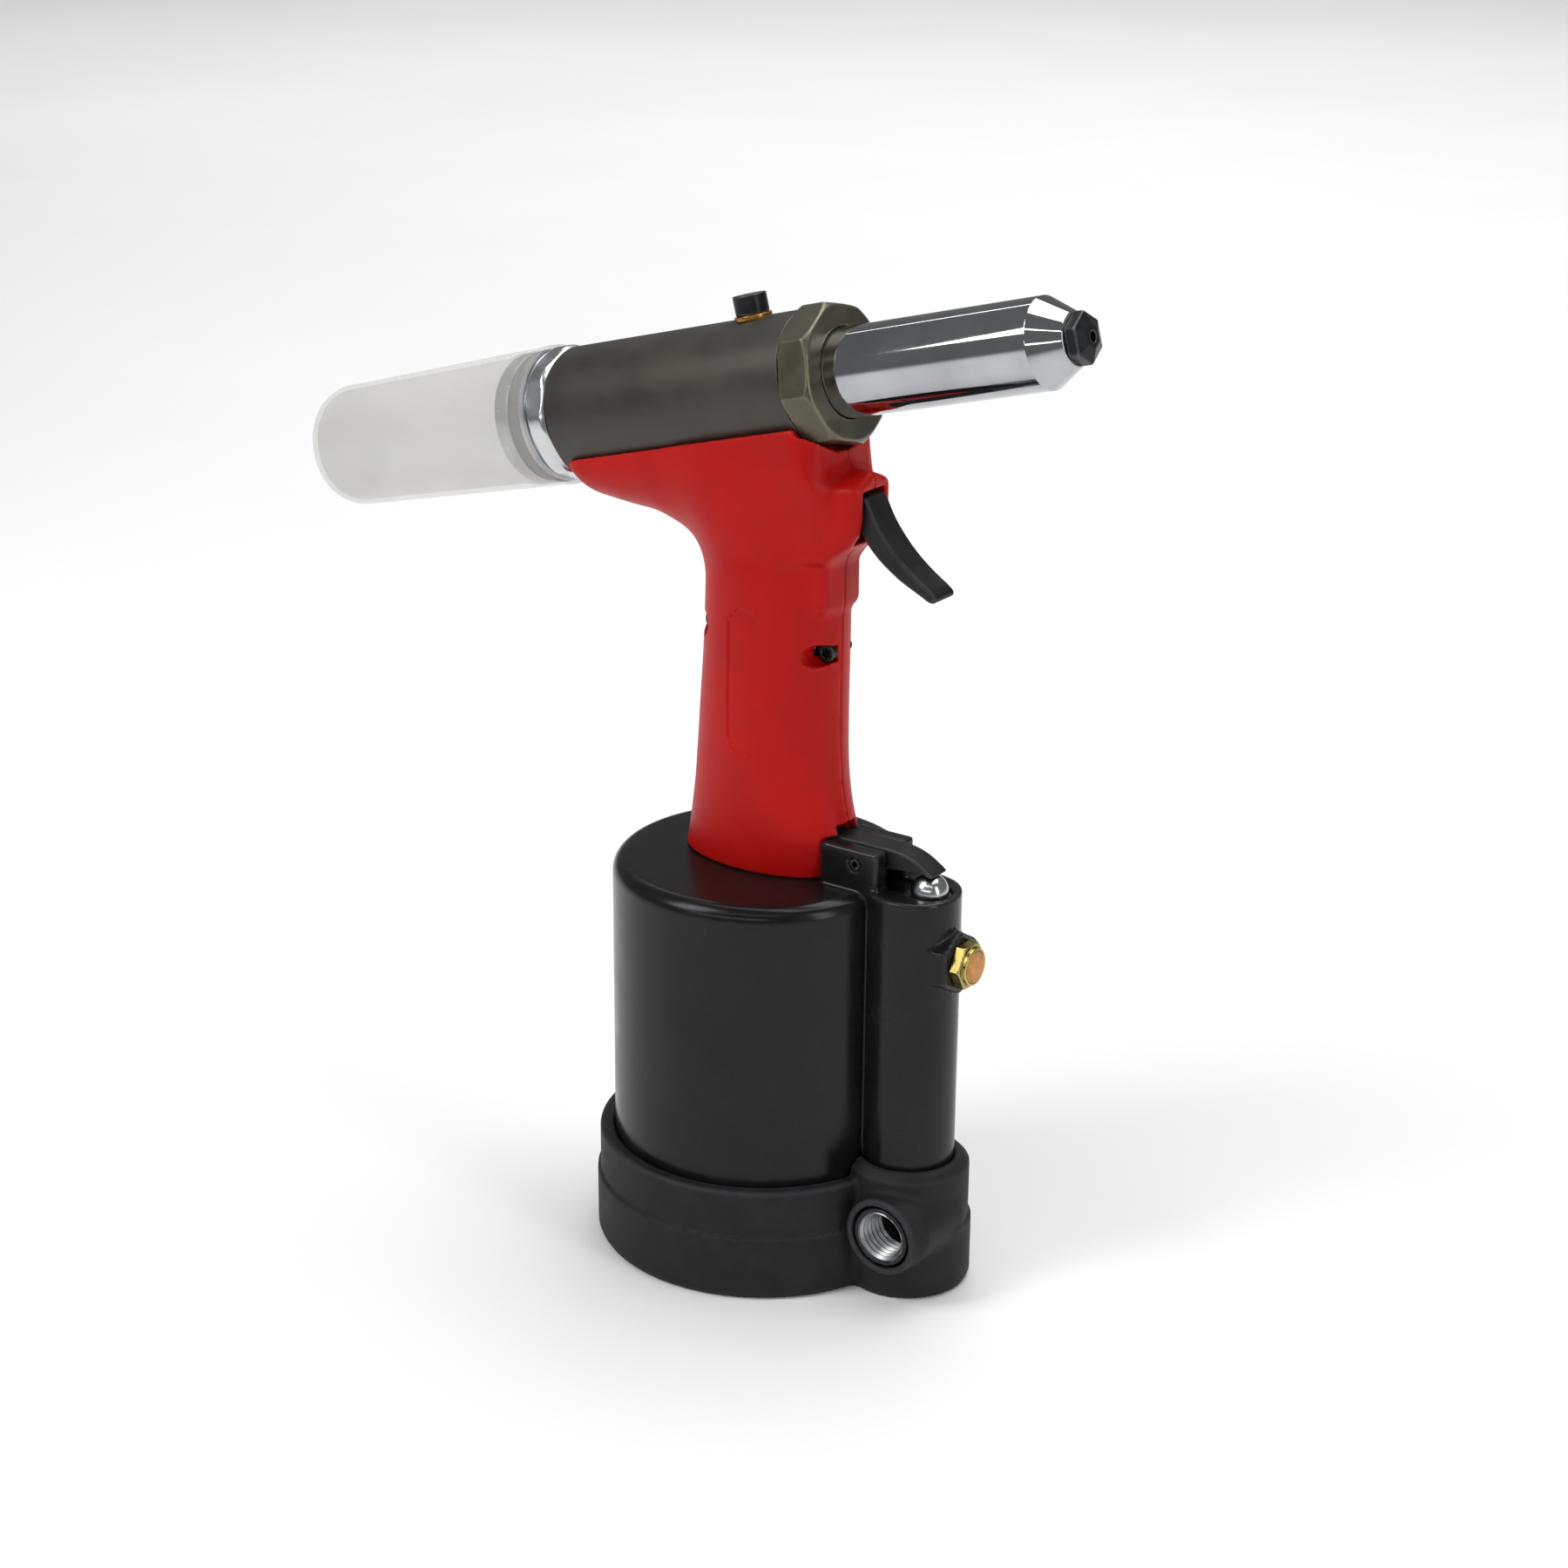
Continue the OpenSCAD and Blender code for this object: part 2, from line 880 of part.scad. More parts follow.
module nosepiece() {
    color("#26262a")
        barrel()
            difference() {
                union() {
                    bar(s_tip - 8.2, s_tip + 0.1, 4);
                    bar(75.9, s_tip - 8, 2.2);
                    // hexagon for the spanner, with a low pyramid in front
                    bar(s_tip + 0.05, s_nose - 1.4, 6.3, 6);
                    translate([s_nose - 1.41, 0, 0])
                        rotate([0, 90, 0])
                            cylinder(h = 1.41, r1 = 6.3, r2 = 2.8, $fn = 6);
                }
                bar(70, 100, mandrel_r);
            }
}

// ---------- rear ----------

module rear_cap() {
    color("#c5c8cb")
        barrel()
            difference() {
                union() {
                    bar(-57, -46.5, oil_r + 0.5);
                    bar(s_rear, -57, 14.5);
                    intersection() {
                        translate([s_neck, 0, 0])
                            rotate([0, 90, 0])
                                cylinder(h = s_rear - s_neck - 0.1, r = 18, $fn = 8);
                        turned([[0, s_neck], [16.2, s_neck], [17.3, s_neck + 1.2], [17.3, s_rear - 1.2],
                            [16.4, s_rear - 0.1], [0, s_rear - 0.1]]);
                    }
                    bar(s_rear - 0.2, s_rear + 0.1, 14.4);
                    bar(s_spigot, s_neck + 0.1, 16.85);
                }
                bar(-80, -40, 7 + fit);
                difference() {
                    bar(-70.4, -66.6, 18);
                    bar(-71, -66, 13.7);
                }
                difference() {
                    bar(-56, -53.4, 18);
                    bar(-57, -53, 12.9);
                }
                bar(s_spigot - e, -72, 9.5);
            }
}

module rear_cap_seal() {
    color("#1a1a1a")
        barrel()
            difference() {
                bar(-55.9, -53.5, oil_r + 0.55);
                bar(-57, -53, 12.95);
            }
}

module collector_oring() {
    color("#2c3550")
        barrel()
            translate([-68.5, 0, 0])
                rotate([0, 90, 0])
                    ring(0, 15.4, 1.6);
}

module collector_bottle() {
    mouth = s_neck - 0.2;
    end = s_bottle;
    color([0.83, 0.82, 0.8, 0.6])
        barrel()
            turned([[17.1, mouth], [18, mouth - 0.8], [18, mouth - 2], [17.75, mouth - 2.6],
                [17.7, mouth - 11], [16.2, end + 3.4], [15.6, end + 1.2], [14, end], [0, end],
                [0, end + 1.3], [13.5, end + 1.3], [14.9, end + 3.6], [16.2, mouth - 14],
                [17.1, mouth - 11.5]]);
}

base_boot();
air_cylinder();
bottom_cap();
cap_seal();
snap_ring();
air_piston();
piston_seal();
ram_rod();
ram_nut();
ram_gland();
gland_seal();
valve_plug();
valve_spring();
valve_spool();
spool_seals();
valve_bush();
valve_pin();
muffler_body();
muffler_disc();
rocker_lever();
lever_pin();
push_rod();
rod_pin();
trigger();
trigger_pin();
grip_right();
grip_left();
shell_screws();
head_frame();
bleed_washer();
bleed_screw();
front_rod_seal();
draw_bar();
head_piston_seal();
head_spring();
jaw_case();
jaw_spring();
jaw_pusher();
jaw_1();
jaw_2();
jaw_3();
lock_nut();
nose_sleeve();
nosepiece();
rear_cap();
rear_cap_seal();
collector_oring();
collector_bottle();
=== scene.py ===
# %% [markdown]
# # An air over oil blind riveter
# The tool stands on a rubber booted air cylinder. A red grip carries the lever trigger, and a
# tilted barrel holds the chromed nose at one end and a milky mandrel bottle at the other.
# This lesson models its visible pieces around a frame of solids that is already packed, and
# gives every piece a finish worked out from how the real one is made.

# %% Load the frame
import math
import bpy
import numpy as np
from mathutils import Matrix, Vector
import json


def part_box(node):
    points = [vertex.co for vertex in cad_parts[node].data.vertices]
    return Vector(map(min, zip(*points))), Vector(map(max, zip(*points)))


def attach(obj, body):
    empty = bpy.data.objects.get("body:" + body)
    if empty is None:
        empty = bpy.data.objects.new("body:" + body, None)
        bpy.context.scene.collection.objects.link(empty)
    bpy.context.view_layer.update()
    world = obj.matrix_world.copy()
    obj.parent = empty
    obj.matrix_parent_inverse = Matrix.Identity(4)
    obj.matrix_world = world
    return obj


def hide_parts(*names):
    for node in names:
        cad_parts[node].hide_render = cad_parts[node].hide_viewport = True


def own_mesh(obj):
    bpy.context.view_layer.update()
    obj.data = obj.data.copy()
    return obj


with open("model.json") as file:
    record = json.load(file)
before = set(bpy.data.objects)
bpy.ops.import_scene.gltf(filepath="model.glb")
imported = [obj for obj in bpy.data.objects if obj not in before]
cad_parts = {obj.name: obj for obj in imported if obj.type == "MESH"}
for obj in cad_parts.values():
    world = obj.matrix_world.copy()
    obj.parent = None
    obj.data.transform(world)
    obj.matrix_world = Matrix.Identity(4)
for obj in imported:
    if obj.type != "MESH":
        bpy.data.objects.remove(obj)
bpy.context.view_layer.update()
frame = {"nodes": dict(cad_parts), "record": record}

# %% [markdown]
# Places come from the frame. The barrel is tipped nose up, so it gets its own pair of
# directions: `along` runs to the nose and `across` points up out of the barrel.
# Shapes are drawn in millimetres and scaled to metres when a mesh is made.

# %% Barrel directions
MM = 0.001
tilt = math.radians(14.47)
axis_z = 228.96
along = np.array([math.cos(tilt), 0.0, math.sin(tilt)])
across = np.array([-math.sin(tilt), 0.0, math.cos(tilt)])


def in_barrel(x, z):
    """Station along the barrel and height across it, for points in the tool's own axes."""
    rise = z - axis_z
    return x * along[0] + rise * along[2], x * across[0] + rise * across[2]


tip = np.array(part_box("nosepiece")[1]) / MM
print("nose reaches", tip.round(1), "mm")

# %% [markdown]
# ## Soft edged solids from distance fields
# Castings and mouldings have no hard corners: every edge is a radius that flows into the next
# face. Bevels and subdivision need a tidy mesh first, and these shapes are unions of many
# bodies. So each one is written as a distance field, a function that says how far a point is
# from the surface, where two bodies can be blended with a chosen fillet.

# %% Distance field tools
def blend(a, b, fillet):
    """Union of two fields, with a fillet in the inner corner."""
    near = np.maximum(fillet - np.abs(a - b), 0.0) / fillet
    return np.minimum(a, b) - near * near * fillet * 0.25


def meet(a, b, round_over):
    """What two fields share, with the outer edge rounded over."""
    return -blend(-a, -b, round_over)


def cut(a, b, round_over):
    """The first field with the second taken away."""
    return meet(a, -b, round_over)


def slab(x, y, z, centre, half, radius):
    """A box with rounded edges."""
    q = [np.abs(v - c) - (h - radius) for v, c, h in zip((x, y, z), centre, half)]
    outside = np.sqrt(sum(np.maximum(v, 0.0) ** 2 for v in q))
    return outside + np.minimum(np.maximum(np.maximum(q[0], q[1]), q[2]), 0.0) - radius


def drum(radial, axial, radius, half, edge):
    """A cylinder from its distance off the axis and along it, with rounded rims."""
    a, b = radial - (radius - edge), np.abs(axial) - (half - edge)
    return np.sqrt(np.maximum(a, 0.0) ** 2 + np.maximum(b,
                                                        0.0) ** 2) + np.minimum(np.maximum(a, b), 0.0) - edge


def upright(x, y, z, cx, low, high, radius, edge=0.01):
    return drum(np.sqrt((x - cx) ** 2 + y * y), z - (low + high) / 2, radius, (high - low) / 2, edge)


def outline(u, v, points):
    """Signed distance to a closed outline in a plane."""
    best, sign = 1e9, 1.0
    count = len(points)
    for i in range(count):
        (ax, ay), (bx, by) = points[i - 1], points[i]
        ex, ey = bx - ax, by - ay
        wx, wy = u - ax, v - ay
        t = np.clip((wx * ex + wy * ey) / (ex * ex + ey * ey), 0.0, 1.0)
        best = np.minimum(best, (wx - ex * t) ** 2 + (wy - ey * t) ** 2)
        above, below = v >= ay, v < by
        left = ex * wy - ey * wx > 0
        flip = (above & below & left) | (~above & ~below & ~left)
        sign = np.where(flip, -sign, sign)
    return np.sqrt(best) * sign


def smooth_line(t, knots, values):
    """A smooth curve through knots, flat beyond the ends."""
    k, v = np.array(knots, float), np.array(values, float)
    slope = np.gradient(v, k)
    t = np.clip(t, k[0], k[-1])
    i = np.clip(np.searchsorted(k, t) - 1, 0, len(k) - 2)
    w = k[i + 1] - k[i]
    u = (t - k[i]) / w
    return ((1 + 2 * u) * (1 - u) ** 2 * v[i] + u * (1 - u) ** 2 * w * slope[i]
            + u * u * (3 - 2 * u) * v[i + 1] + u * u * (u - 1) * w * slope[i + 1])


# %% [markdown]
# A field becomes a mesh in two moves. Cells of a grid that the surface passes through each get
# one vertex, and neighbouring cells are joined by quads. Then every vertex slides down the
# field's slope until it lies on the true surface, and takes its normal from that slope, so a
# glossy face reflects without ripples.

# %% Field to mesh
CORNERS = [(i, j, k) for i in (0, 1) for j in (0, 1) for k in (0, 1)]


def slope_of(field, p, reach=0.02):
    grads = []
    for axis in range(3):
        step = np.zeros(3)
        step[axis] = reach
        grads.append((field(*(p + step).T) - field(*(p - step).T)) / (2 * reach))
    return np.stack(grads, -1)


def skin(field, low, high, step):
    """Vertices, quads and normals of the surface where the field is zero."""
    axes = [np.arange(a - step, b + 2 * step, step) for a, b in zip(low, high)]
    value = field(*np.meshgrid(*axes, indexing="ij", sparse=True))
    value = np.broadcast_to(value, [len(a) for a in axes])
    inside = value < 0
    size = [n - 1 for n in value.shape]
    part = {c: tuple(slice(o, o + n) for o, n in zip(c, size)) for c in CORNERS}
    total, count = np.zeros(size + [3]), np.zeros(size)
    for a in CORNERS:
        for axis in range(3):
            if a[axis]:
                continue
            b = tuple(1 if i == axis else v for i, v in enumerate(a))
            crossed = inside[part[a]] != inside[part[b]]
            va, vb = value[part[a]][crossed], value[part[b]][crossed]
            spot = np.array(a, float)[None] + np.zeros((len(va), 3))
            spot[:, axis] += va / (va - vb)
            total[crossed] += spot
            count[crossed] += 1
    used = count > 0
    number = np.full(size, -1)
    number[used] = np.arange(used.sum())
    cell = np.argwhere(used)
    p = (cell + total[used] / count[used][:, None]) * step + np.array([a[0] for a in axes])
    quads = []
    for axis in range(3):
        u, v = (axis + 1) % 3, (axis + 2) % 3
        lo = [slice(1, -1)] * 3
        lo[axis] = slice(0, -1)
        hi = list(lo)
        hi[axis] = slice(1, None)
        first, second = inside[tuple(lo)], inside[tuple(hi)]
        where = np.argwhere(first != second)
        base = where + np.array([0 if i == axis else 1 for i in range(3)])
        ring = []
        for du, dv in ((0, 0), (1, 0), (1, 1), (0, 1)):
            c = base.copy()
            c[:, u] -= du
            c[:, v] -= dv
            ring.append(number[tuple(c.T)])
        ring = np.stack(ring, -1)
        outward = first[first != second]
        quads.append(np.where(outward[:, None], ring, ring[:, ::-1]))
    for _ in range(5):
        g = slope_of(field, p)
        f = field(*p.T)[:, None]
        move = -f * g / np.maximum((g * g).sum(-1, keepdims=True), 0.05)
        p = p + np.clip(move, -0.4 * step, 0.4 * step)
    g = slope_of(field, p)
    return p, np.concatenate(quads), g / np.maximum(np.linalg.norm(g, axis=1, keepdims=True), 1e-9)


def mesh_object(name, points, faces, normals=None):
    """A new object in the tool's frame from points in millimetres."""
    mesh = bpy.data.meshes.new(name)
    mesh.from_pydata((np.asarray(points) * MM).tolist(), [],
                     np.asarray(faces).tolist() if normals is not None else faces)
    mesh.update()
    mesh.polygons.foreach_set("use_smooth", [True] * len(mesh.polygons))
    if normals is not None:
        mesh.normals_split_custom_set_from_vertices(normals.tolist())
    piece = bpy.data.objects.new(name, mesh)
    bpy.context.scene.collection.objects.link(piece)
    return piece


def moulded(name, field, low, high, step):
    piece = mesh_object(name, *skin(field, low, high, step))
    print(name, len(piece.data.polygons), "quads")
    return piece


# %% [markdown]
# ## Turned pieces
# A lathe makes rings, bushes, pins and sleeves, so those pieces are an outline swept round an
# axis. Each corner of the outline can carry a radius, because a real tool edge always leaves
# one, and that thin bright line is what tells the eye that metal was turned.

# %% Turning tools
def rounded(points):
    """Replaces each corner (radius, station, fillet) with a short arc."""
    flat = [np.array(p[:2], float) for p in points]
    out = []
    for i, p in enumerate(points):
        fillet = p[2] if len(p) > 2 else 0.0
        here, back, on = flat[i], flat[i - 1], flat[(i + 1) % len(flat)]
        if not fillet:
            out.append(here)
            continue
        a, b = (back - here), (on - here)
        la, lb = np.linalg.norm(a), np.linalg.norm(b)
        a, b = a / la, b / lb
        reach = min(fillet / math.tan(math.acos(np.clip(a @ b, -1, 1)) / 2), la * 0.48, lb * 0.48)
        start, end = here + a * reach, here + b * reach
        for t in np.linspace(0, 1, 6):
            out.append((1 - t) ** 2 * start + 2 * t * (1 - t) * here + t * t * end)
    return out


BARREL = Matrix((along.tolist(), (0.0, -1.0, 0.0), across.tolist())).transposed()
UPRIGHT = Matrix(((0, 0, 1), (1, 0, 0), (0, 1, 0))).transposed()


def turned(name, points, origin=(0.0, 0.0, axis_z), axes=BARREL, sides=96):
    """Sweeps a closed outline of (radius, station, fillet) round the first of the axes."""
    line = rounded(points)
    turn = np.array(axes)
    n = len(line)
    verts, faces, first = [], [], []
    for r, s in line:
        first.append(len(verts))
        loops = 1 if r < 1e-6 else sides
        for k in range(loops):
            a = 2 * math.pi * k / sides
            verts.append(np.array(origin) + turn @ np.array([s, r * math.cos(a), r * math.sin(a)]))
    for i in range(n):
        j = (i + 1) % n
        pole_i, pole_j = line[i][0] < 1e-6, line[j][0] < 1e-6
        if pole_i and pole_j:
            continue
        for k in range(sides):
            m = (k + 1) % sides
            ring_i = [first[i]] if pole_i else [first[i] + k, first[i] + m]
            ring_j = [first[j]] if pole_j else [first[j] + m, first[j] + k]
            faces.append(ring_i + ring_j)
    piece = mesh_object(name, verts, faces)
    tidy_normals(piece)
    return piece


def tidy_normals(piece, angle=35.0):
    """Points faces outward and keeps edges sharper than the angle crisp."""
    import bmesh
    work = bmesh.new()
    work.from_mesh(piece.data)
    bmesh.ops.recalc_face_normals(work, faces=work.faces)
    for edge in work.edges:
        if len(edge.link_faces) == 2 and edge.calc_face_angle(0.0) > math.radians(angle):
            edge.smooth = False
    work.to_mesh(piece.data)
    work.free()
    return piece


# %% [markdown]
# ## Finishes
# A material says what the thing is made of and how its surface was worked. Colours are written
# as sRGB hex values and turned to linear light by one function. Pattern sizes are given in
# millimetres, because a casting's orange peel or a lathe's feed lines have a real size.

# %% Material tools
def linear(code):
    """An sRGB hex colour as linear light."""
    parts = [int(code[i:i + 2], 16) / 255 for i in (1, 3, 5)]
    return [c / 12.92 if c <= 0.04045 else ((c + 0.055) / 1.055) ** 2.4 for c in parts] + [1.0]


def per_mm(size):
    """Texture scale, in repeats a metre, for a feature of that many millimetres."""
    return 1000.0 / size


def add(tree, kind, links=(), **settings):
    """Adds a node. Settings that match an input set it, others set the node itself."""
    node = tree.nodes.new(kind)
    for key, value in settings.items():
        name = key.replace("_", " ")
        match = [s for s in node.inputs if s.name.lower() == name.lower()]
        if match and not hasattr(node, key):
            match[0].default_value = value
        else:
            setattr(node, key, value)
    for source, target in links:
        tree.links.new(source, node.inputs[target])
    return node


def ramp(tree, source, stops, linked="Fac"):
    """A colour ramp over a value; stops are (place, hex colour or grey level)."""
    node = add(tree, "ShaderNodeValToRGB", [(source, linked)])
    elements = node.color_ramp.elements
    while len(elements) < len(stops):
        elements.new(0.5)
    for element, (place, level) in zip(elements, stops):
        element.position = place
        element.color = linear(level) if isinstance(level, str) else (level, level, level, 1.0)
    return node


def finish_of(name, colours, metal=0.0, rough=0.5, rough_spread=0.08, grain=0.4, relief=0.02,
              mottle=8.0, stretch=(1, 1, 1), worn=None, **shader_settings):
    """A worked surface: mottled colour, uneven gloss, fine relief and rubbed edges.

    colours are two sRGB hex values that a slow mottle drifts between. grain is the size of
    the fine relief in millimetres and relief its height. worn is a third colour for edges
    that handling has rubbed. stretch draws the grain out along an axis, as brushing does.
    """
    material = bpy.data.materials.new(name)
    material.use_nodes = True
    tree = material.node_tree
    shader = tree.nodes["Principled BSDF"]
    where = add(tree, "ShaderNodeTexCoord").outputs["Object"]
    slow = add(tree, "ShaderNodeTexNoise", [(where, "Vector")], scale=per_mm(mottle), detail=5.0,
               roughness=0.55)
    tint = ramp(tree, slow.outputs["Fac"], [(0.36, colours[0]), (0.66, colours[1])])
    colour = tint.outputs["Color"]
    drawn = add(tree, "ShaderNodeMapping", [(where, "Vector")])
    drawn.inputs["Scale"].default_value = stretch
    fine = add(tree, "ShaderNodeTexNoise", [(drawn.outputs["Vector"], "Vector")], scale=per_mm(grain),
               detail=3.0)
    if worn:
        edge = add(tree, "ShaderNodeNewGeometry").outputs["Pointiness"]
        rubbed = ramp(tree, edge, [(0.515, 0.0), (0.56, 1.0)])
        broken = add(tree, "ShaderNodeMath", [(rubbed.outputs["Color"], 0), (fine.outputs["Fac"], 1)],
                     operation="MULTIPLY")
        colour = add(tree, "ShaderNodeMixRGB",
                     [(broken.outputs["Value"], "Fac"), (colour, "Color1")]).outputs["Color"]
        colour.node.inputs["Color2"].default_value = linear(worn)
    tree.links.new(colour, shader.inputs["Base Color"])
    gloss = ramp(tree, slow.outputs["Fac"], [(0.3, rough - rough_spread), (0.7, rough + rough_spread)])
    tree.links.new(gloss.outputs["Color"], shader.inputs["Roughness"])
    bump = add(tree, "ShaderNodeBump", [(fine.outputs["Fac"], "Height")], strength=0.6, distance=relief * MM)
    tree.links.new(bump.outputs["Normal"], shader.inputs["Normal"])
    shader.inputs["Metallic"].default_value = metal
    for key, value in shader_settings.items():
        shader.inputs[key.replace("_", " ")].default_value = value
    return material


# %% [markdown]
# The tool has a dozen finishes. Painted castings are smooth plastic over a slightly rippled
# base. Nylon keeps the fine spark texture of its mould. Anodising leaves aluminium metallic but
# dull. Chrome plate has almost no grain at all, and moulded rubber scatters light so widely
# that only scuffs show.

# %% The finishes
powder_coat = finish_of("Black powder coated aluminium casting", ("#121112", "#191819"), rough=0.24,
                        rough_spread=0.05, grain=1.1, relief=0.006, mottle=14.0, worn="#343334",
                        Specular_IOR_Level=0.24)
red_nylon = finish_of("Moulded red glass filled nylon", ("#a90a08", "#b70e0a"), rough=0.42,
                      rough_spread=0.05,
                      grain=0.45, relief=0.014, mottle=22.0, worn="#c22b20", Specular_IOR_Level=0.16)
boot_rubber = finish_of("Moulded black nitrile rubber", ("#1b1b1d", "#242426"), rough=0.6, rough_spread=0.07,
                        grain=0.5, relief=0.03, mottle=9.0, worn="#414144", Specular_IOR_Level=0.2)
head_anodising = finish_of("Hard anodised aluminium tube, dark olive grey", ("#3d3b36", "#45433d"),
                           metal=0.55,
                           rough=0.46, rough_spread=0.05, grain=0.35, relief=0.01, mottle=12.0,
                           stretch=(0.25, 1.0, 1.0), worn="#6a675c")
nut_anodising = finish_of("Anodised aluminium nut, olive grey", ("#59574a", "#676455"), metal=0.75,
                          rough=0.34,
                          rough_spread=0.06, grain=0.4, relief=0.01, mottle=7.0, worn="#8b8774")
chrome_plate = finish_of("Polished chrome plate on steel", ("#a6a8ac", "#b6b8bb"), metal=1.0, rough=0.05,
                         rough_spread=0.015, grain=2.4, relief=0.0008, mottle=16.0)
turned_aluminium = finish_of("Turned aluminium", ("#c2c4c6", "#d3d5d7"), metal=1.0, rough=0.24,
                             rough_spread=0.06,
                             grain=0.3, relief=0.01, mottle=6.0)
ground_steel = finish_of("Ground and polished steel", ("#b6b9bd", "#cdd0d3"), metal=1.0, rough=0.2,
                         rough_spread=0.05, grain=0.35, relief=0.006, mottle=5.0)
black_oxide = finish_of("Black oxide steel", ("#17181a", "#222326"), metal=0.6, rough=0.36,
                        rough_spread=0.07,
                        grain=0.4, relief=0.012, mottle=4.0, worn="#77787b")
lever_paint = finish_of("Black painted cast lever", ("#1b1a1b", "#242324"), rough=0.36, rough_spread=0.06,
                        grain=0.6, relief=0.014, mottle=6.0, worn="#4c4c50", Specular_IOR_Level=0.2)
spring_wire = finish_of("Oiled spring wire", ("#8b8d90", "#a5a7aa"), metal=1.0, rough=0.3, grain=0.5,
                        relief=0.006)
turned_brass = finish_of("Turned brass", ("#8f7f45", "#a8985a"), metal=1.0, rough=0.26, rough_spread=0.07,
                         grain=0.4, relief=0.01, mottle=5.0, worn="#ead58e")
copper_washer = finish_of("Annealed copper washer", ("#a9793d", "#c99a57"), metal=1.0, rough=0.34,
                          grain=0.4, relief=0.01)
seal_rubber = finish_of("Nitrile seal", ("#151516", "#1f1f21"), rough=0.42, grain=0.5, relief=0.01)
blue_seal = finish_of("Dark blue polyurethane ring", ("#141b2e", "#1e2840"), rough=0.35, grain=0.5,
                      relief=0.01)
tapped_aluminium = finish_of("Tapped aluminium thread", ("#8d8f91", "#a5a7a9"), metal=1.0, rough=0.38,
                             rough_spread=0.1,
                             grain=0.3, relief=0.02, mottle=3.0)
print(len(bpy.data.materials), "finishes")

# %% [markdown]
# Two finishes need more than the common recipe. The collector bottle is blown from milky
# polythene. What lies against its wall shows through and what lies deeper fades to white, so
# the wall is a pale body colour that is only part opaque. The muffler is bronze powder pressed
# and baked until the grains just fuse, so its relief is a field of rounded cells about a third
# of a millimetre wide.

# %% Milky bottle and sintered bronze
milky_polythene = finish_of("Blown milky polythene", ("#c3c2be", "#cfcecb"), rough=0.3, rough_spread=0.05,
                            grain=3.0, relief=0.02, mottle=30.0, Alpha=0.3)
sintered_bronze = finish_of("Sintered bronze", ("#b57c45", "#d9a263"), metal=0.85, rough=0.5, mottle=2.0)
tree = sintered_bronze.node_tree
grains = add(tree, "ShaderNodeTexVoronoi", [(add(tree, "ShaderNodeTexCoord").outputs["Object"], "Vector")],
             scale=per_mm(0.45))
relief = add(tree, "ShaderNodeBump", [(grains.outputs["Distance"], "Height")], distance=0.1 * MM,
             invert=True)
tree.links.new(relief.outputs["Normal"], tree.nodes["Principled BSDF"].inputs["Normal"])


def place(piece, body, finish, *nodes, slot=None):
    """Gives a piece its finish and the body it rides on, and hides the solids it stands for."""
    piece.data.materials.append(finish)
    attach(piece, body)
    if nodes:
        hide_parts(*nodes)


# %% [markdown]
# ## The foot casting
# One aluminium die casting makes the air cylinder, the valve tower, the inlet boss and the two
# ears that hold the lever. Its shoulder is a generous radius, and a narrow groove shows where
# the tower meets the cylinder, so the tower is joined with a very small fillet.

# %% Foot casting
tower_x, valve_x, muffler_x, muffler_z, inlet_z = 46.0, 50.5, 60.4, 90.8, 19.5
hexagon = np.radians(np.arange(0, 360, 60))


def casting_shape(x, y, z):
    barrel = upright(x, y, z, 0.0, 3.0, 106.35, 39.0, 4.2)
    tower = upright(x, y, z, tower_x, 3.0, 107.6, 11.9, 0.7)
    body = blend(barrel, tower, 0.6)
    around_inlet = np.sqrt((x - valve_x - 0.3) ** 2 + (z - inlet_z) ** 2)
    body = blend(body, drum(around_inlet, y + 10.0, 7.9, 10.0, 0.6), 1.5)
    flats = np.maximum.reduce([y * math.cos(a) + (z - muffler_z) * math.sin(a) + 0 * x for a in hexagon])
    boss = meet((flats - 7.2 + 0.1 * (x - muffler_x)) / 1.005, np.abs(x - 53.2) - 7.1, 0.5)
    body = blend(body, boss, 0.7)
    ears = slab(x, y, z, (31.7, 0, 106.5), (8.5, 8.6, 10.9), 0.9)
    body = blend(body, ears, 1.2)
    body = cut(body, slab(x, y, z, (31.7, 0, 126.55), (14.0, 4.0, 20.0), 0.3), 0.5)
    body = np.maximum(body, -np.sqrt((x - 33.4) ** 2 + (z - 113.4) ** 2) - (-1.6) + 0 * y)
    body = np.maximum(body, -upright(x, y, z, 0.0, -5.0, 98.35, 35.5))
    body = np.maximum(body, -upright(x, y, z, 0.0, 90.0, 120.0, 10.0))
    body = cut(body, upright(x, y, z, valve_x, 30.0, 130.0, 5.6), 0.4)
    return cut(body, drum(around_inlet, y + 15.0, 6.62, 7.0, 0.1), 0.3)


casting = moulded("foot_casting", casting_shape, (-39.6, -39.6, 2.5), (60.0, 39.6, 118.0), 0.9)
place(casting, "frame", powder_coat, "air_cylinder", slot="black_casting")

# %% [markdown]
# The inlet takes a quarter inch pipe fitting. Its thread is cut into bare aluminium, nineteen
# turns to the inch, so it is a turned ring whose inner outline is a row of teeth.

# %% Inlet thread
pitch = 25.4 / 19 * 1.25  # a little coarser than cut, so that the turns still show
teeth = [(6.9, -8.2), (6.9, -19.7), (6.6, -19.95)]
for i in range(6):
    station = -19.6 + i * pitch
    teeth += [(6.5, station), (6.45, station + pitch * 0.12), (5.7, station + pitch * 0.5),
              (5.7, station + pitch * 0.62)]
teeth += [(6.5, -9.4), (6.5, -8.2)]
SIDEWAYS = Matrix(((0, 1, 0), (0, 0, 1), (1, 0, 0))).transposed()
threads = turned("inlet_thread", teeth, (valve_x + 0.3, 0, inlet_z), SIDEWAYS)
place(threads, "frame", tapped_aluminium)

